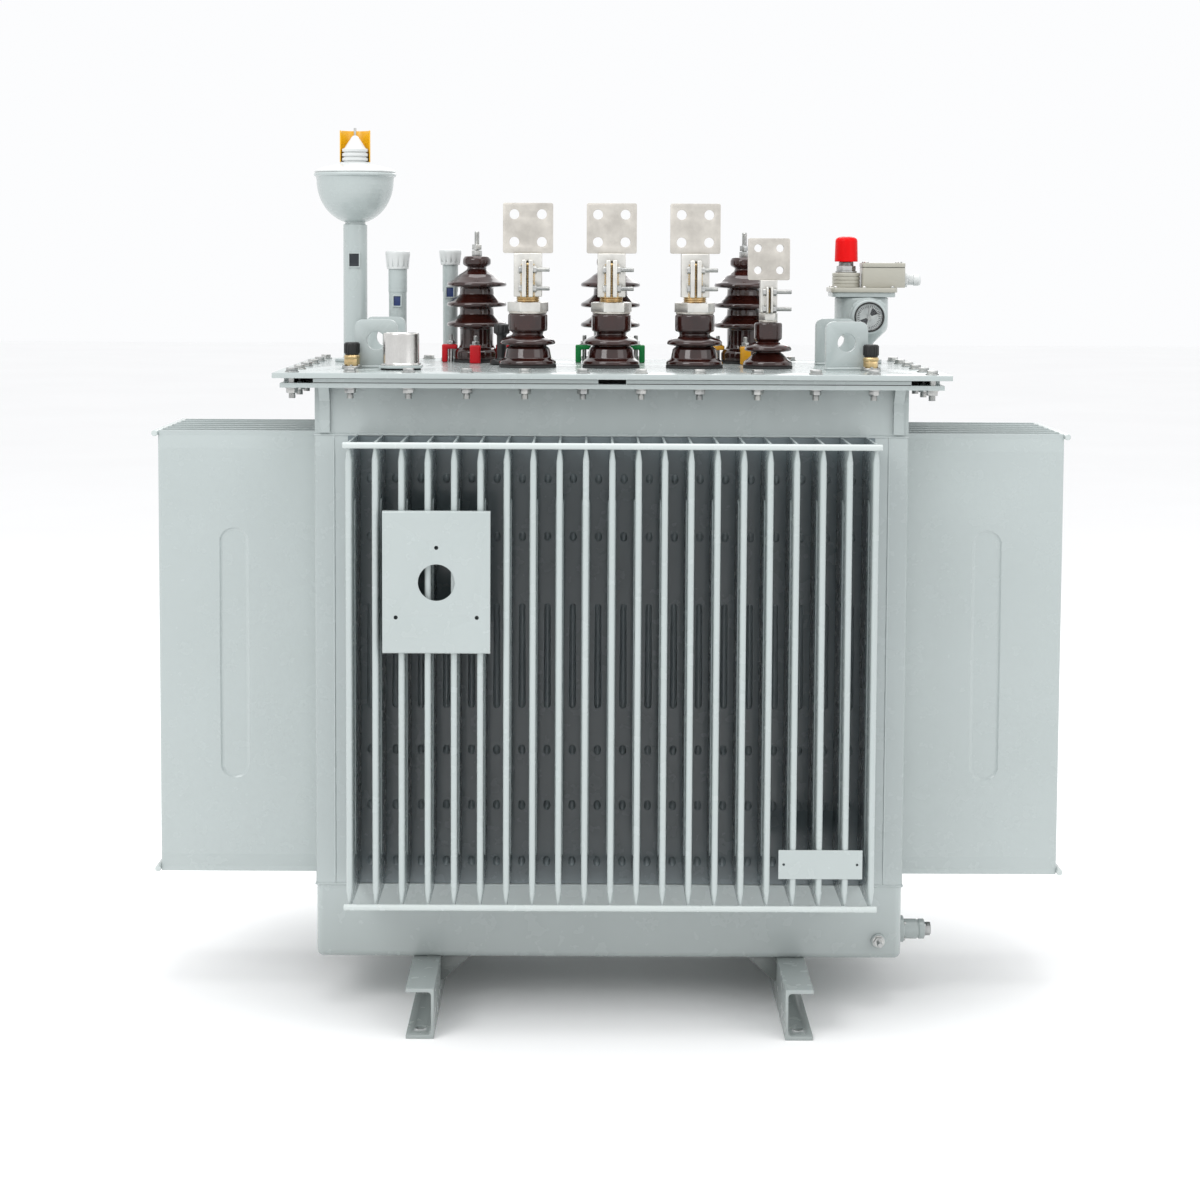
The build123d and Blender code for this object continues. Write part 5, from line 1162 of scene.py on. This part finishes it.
def wiring_box():
    """The wiring box with its lipped cover, corner screws and a ribbed cable gland."""
    left = span("relay_box")[0].x
    right = left + 82
    front, middle, back = 145, 170, 195
    foot = LID_TOP + 145
    top = foot + 47
    shell = slab((left, front, foot), (right, back, top - 9))
    cover = slab((left - 0.4, front - 0.8, top - 8.2), (right, back + 0.8, top))
    seam = slab((left + 1, front + 1, top - 10), (right - 1, back - 1, top - 7))
    parts = [painted(soften(trimmed(block, runs(2, 6), 4, 4), 1, 3), BEIGE)
             for block in (shell, cover)]
    parts.append(painted(soften(seam, 0.4, 1), RUBBER))
    for x in (left + 8, right - 10):
        for y in (front + 7, back - 7):
            head = turned([(1, 0), (4.6, 0), (4.6, 1.2), (3.2, 2.6), (1, 2.8)], x, y, top,
                          steps=16, ease=0.4)
            parts.append(painted(head, ZINC))
    gland_at = (right, middle, foot + 47 / 2 - 9)
    flange = placed(hexagon_block(24, 6, 0.6), *gland_at, RIGHT)
    barrel = [(6.2, 5)]
    for i in range(6):
        barrel += [(9.6, 6 + i * 1.9), (9.6, 7.1 + i * 1.9), (9, 7.4 + i * 1.9)]
    barrel += [(9.2, 18), (11, 18.4), (11, 28), (9.4, 31), (6.4, 32)]
    gland = turned(barrel, *gland_at, steps=36, ease=0.3, turn=RIGHT)
    cut_away(gland, turned([(6, 8), (6, 40)], *gland_at, steps=36, ease=0.1, turn=RIGHT))
    parts += [painted(flange, WHITE), painted(gland, WHITE)]
    fit(joined("wiring_box", parts), "transformer", "box_paint", "relay_box")


wiring_box()


# --- plates, rods and feet ---------------------------------------------------------------------
def gauge_plate():
    """A folded plate: flat face, top and bottom returned, ends open, with round bends."""
    low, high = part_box("instrument_plate")
    body = plate(low, high)
    lengthwise = runs(0, 100)
    trimmed(body, lambda e: lengthwise(e) and all(v.co.y < low.y + MM for v in e.verts), 3.5, 5)
    thick, past = 2.2 * MM, 10 * MM
    cut_away(body, plate((low.x - past, low.y + thick, low.z + thick),
                         (high.x + past, high.y + past, high.z - thick)))
    holes = [(-296, 785, 31)] + [(x, z, 3.5) for x, z in around(-296, 765, 79, 3, 90)]
    for x, z, radius in holes:
        cut_away(body, post(radius, 20, (x, low.y / MM, z), 56, FRONT))
    painted(soften(body, 0.5, 2), GREY)
    fit(body, "transformer", "tinned_metal", "instrument_plate").name = "gauge_plate"


def tie_rod(run, x, y, z, turn):
    outline = [(3, -run), (4.9, -run), (5.5, 0.8 - run), (5.5, run - 0.8), (4.9, run), (3, run)]
    return turned(outline, x, y, z, steps=20, ease=0.3, turn=turn)


def rods():
    """Round tie rods with a small weld where each fin meets them."""
    parts = []
    for z in (BASE_TOP + 5, FINS_TOP - 5):
        for side in (-1, 1):
            parts.append(tie_rod(454, 0, side * 390.5, z, RIGHT))
            for i in range(FRONT_FINS):
                x = (i - FRONT_FINS // 2) * FRONT_PITCH
                parts.append(smooth(ball(4.2, (x, side * 386.2, z), 8, (1.0, 1.1, 0.9))))
            parts.append(tie_rod(150, side * 815.5, 0, z, FRONT))
    # the rods take the lighter enamel copy: painted light on the fin tips
    fit(joined("tie_rods", parts, LIT_EDGE_GREY), "transformer", "tank_paint", "fin_rods")


def foot_channel(name, turn):
    """A rolled channel skid with round toes and its plate gussets under the tank."""
    web, out, tall = 300, 348, 88
    body = slab((web, -400, 0), (out, 400, tall))
    hollow = slab((web + 5, -500, 7), (out + 20, 500, tall - 7))
    lengthwise = runs(1, 500)
    trimmed(hollow, lambda e: lengthwise(e) and all(v.co.x < (web + 6) * MM for v in e.verts), 6, 4)
    cut_away(body, hollow, *[post(9, 30, (325, y, 0), 32) for y in (-360, 360)])
    parts = [painted(soften(body, 1, 2), GREY)]
    for middle in (18 - HALF_D, HALF_D - 18):
        gusset = slab((web - 54, middle - 3, 43), (web, middle + 3, tall))
        shifted(gusset, lambda v: v.co.z < 0.05 and v.co.x < (web - 10) * MM, (50, 0, 0))
        # painted shade: the gussets take the dark copy of the enamel
        parts.append(painted(soften(gusset, 0.8, 2), SHADED_GREY))
    skid = joined("skid_made_" + name, parts)
    skid.data.transform(Matrix.Rotation(turn, 4, "Z"))
    fit(skid, "transformer", "tank_paint", "skid_" + name)


def earth():
    place = (479, -HALF_D, 122)
    pad = turned([(2, 0), (13, 0), (13, 5), (12, 6), (2, 6)], *place, 32, 0.5, FRONT)
    ring = turned([(2, 6), (11, 6), (11, 8), (2, 8)], *place, 32, 0.4, FRONT)
    nut = placed(hexagon_block(17, 6.4, 0.6, 8), *place, FRONT)
    end = placed(thread(4.95, 14.5, 30, 1.5, 16), *place, FRONT)
    parts = [painted(pad, GREY)] + [painted(part, ZINC) for part in (ring, nut, end)]
    fit(joined("earth_stud_made", parts), "transformer", "zinc_steel", "earth_terminal")


def drain():
    place = (HALF_L, -130, 116)
    seal = turned([(12, 0), (24, 0), (24.4, 2), (24, 4), (12, 4)], *place, ease=0.6, turn=RIGHT)
    flange = turned([(12, 4), (23.4, 4), (24, 4.8), (24, 15), (23, 16), (18.5, 16.4), (18, 18),
                     (18, 40), (16.5, 41), (16.5, 43), (18, 44), (18, 53), (17, 54), (11, 54)],
                    *place, 56, 0.6, RIGHT)
    cut_away(flange, turned([(10.1, 31.5), (10.1, 58)], *place, 40, 0.1, RIGHT))
    bolts = [painted(placed(hexagon_block(6, 2.4, 0.3, 16), HALF_L, y, z, RIGHT), ZINC)
             for y, z in around(*place[1:], 20.6, 4, 45)]
    fit(joined("drain_body_made", [painted(seal, RUBBER), painted(flange, GREY)] + bolts),
        "transformer", "valve_steel", "drain_valve")
    head = placed(hexagon_block(22, 8, 0.8, 57), *place, RIGHT)
    collar = turned([(6, 54.2), (12.5, 54.2), (12.5, 57), (6, 57.4)], *place, 32, 0.4, RIGHT)
    tip = turned([(2, 34), (9.8, 34.6), (9.8, 54.4)], *place, 32, 0.4, RIGHT)
    plug = joined("drain_plug_made", [head, collar, tip], TURNED_STEEL)
    fit(plug, "plug", "stud_brass", "drain_plug")


def knob():
    x, y = KNOB
    foot = LID_TOP + 0.3
    outline = [(6.4, 0), (21, 0), (22, 1.2), (22, 7), (20.5, 9), (11, 10), (9, 13), (9, 54),
               (11, 57), (14, 58), (15, 60), (15, 72), (13.6, 75), (10, 75.7), (2, 75.7)]
    body = turned([(radius, foot + z) for radius, z in outline], x, y, ease=1.2, even=40)
    cut_away(body, *[post(2.2, 30, (*place, foot + 66), 12) for place in around(x, y, 16.2, 10)])
    fit(painted(body, BLACK), "tap_spindle", "black_plastic", "tap_knob").name = "switch_knob"


gauge_plate()
rods()
foot_channel("right", 0)
foot_channel("left", math.pi)
earth()
drain()
knob()


# --- floor, light and camera -------------------------------------------------------------------
SENSOR = 36
FOCAL, FRAME = 2306.07, 1200            # focal length and picture width in the same unit
EYE = (-0.04174, -4.2522, 1.33911)
PAN, TILT, ROLL = -0.05, 90 - 4.1, 0.27
AIM_AT = Vector((0, 0, 0.85))
LAMPS = (                               # name, place, size in m, power in W
    ("key_softbox", (-2.8, -3.6, 4.2), 2.4, 75),
    ("fill_softbox", (3.6, -3.0, 2.8), 2.6, 24),
    ("top_softbox", (0.0, -0.2, 4.4), 3.0, 70),
    ("back_softbox", (0.6, 3.6, 3.2), 2.4, 30),
)


def studio():
    only()
    bpy.ops.mesh.primitive_plane_add(size=60, location=(0, 0, 0))
    floor = settle(bpy.context.object)
    floor.name = "studio_floor"
    ground = Finish("pale_floor", Specular_IOR_Level=0.2)
    pale = ground.ramp(ground.noise(0.8), 0.3, 0.7, (0.965, 0.965, 0.965), (0.985, 0.985, 0.985))
    painted(floor, ground.made(pale, 0.85))

    world = bpy.data.worlds.new("studio")
    bpy.context.scene.world = world
    world.use_nodes = True
    sky = world.node_tree.nodes["Background"]
    sky.inputs["Color"].default_value = (0.985, 0.99, 1.0, 1)
    sky.inputs["Strength"].default_value = 0.99

    for name, place, size, power in LAMPS:
        light = bpy.data.lights.new(name, "AREA")
        light.energy = power
        light.size = size
        lamp = bpy.data.objects.new(name, light)
        bpy.context.scene.collection.objects.link(lamp)
        lamp.location = place
        lamp.rotation_euler = (AIM_AT - Vector(place)).to_track_quat("-Z", "Y").to_euler()

    eye = bpy.data.cameras.new("view")
    eye.sensor_width = SENSOR
    eye.lens = SENSOR * FOCAL / FRAME
    eye.shift_x = 0.0084
    eye.shift_y = -0.1509
    eye.clip_end = 100
    camera = bpy.data.objects.new("view", eye)
    bpy.context.scene.collection.objects.link(camera)
    pan, roll = (Matrix.Rotation(math.radians(turn), 4, "Z") for turn in (PAN, ROLL))
    tilt = Matrix.Rotation(math.radians(TILT), 4, "X")
    camera.matrix_world = Matrix.Translation(EYE) @ pan @ tilt @ roll
    bpy.context.scene.camera = camera
    bpy.context.scene.view_settings.view_transform = "Standard"


studio()
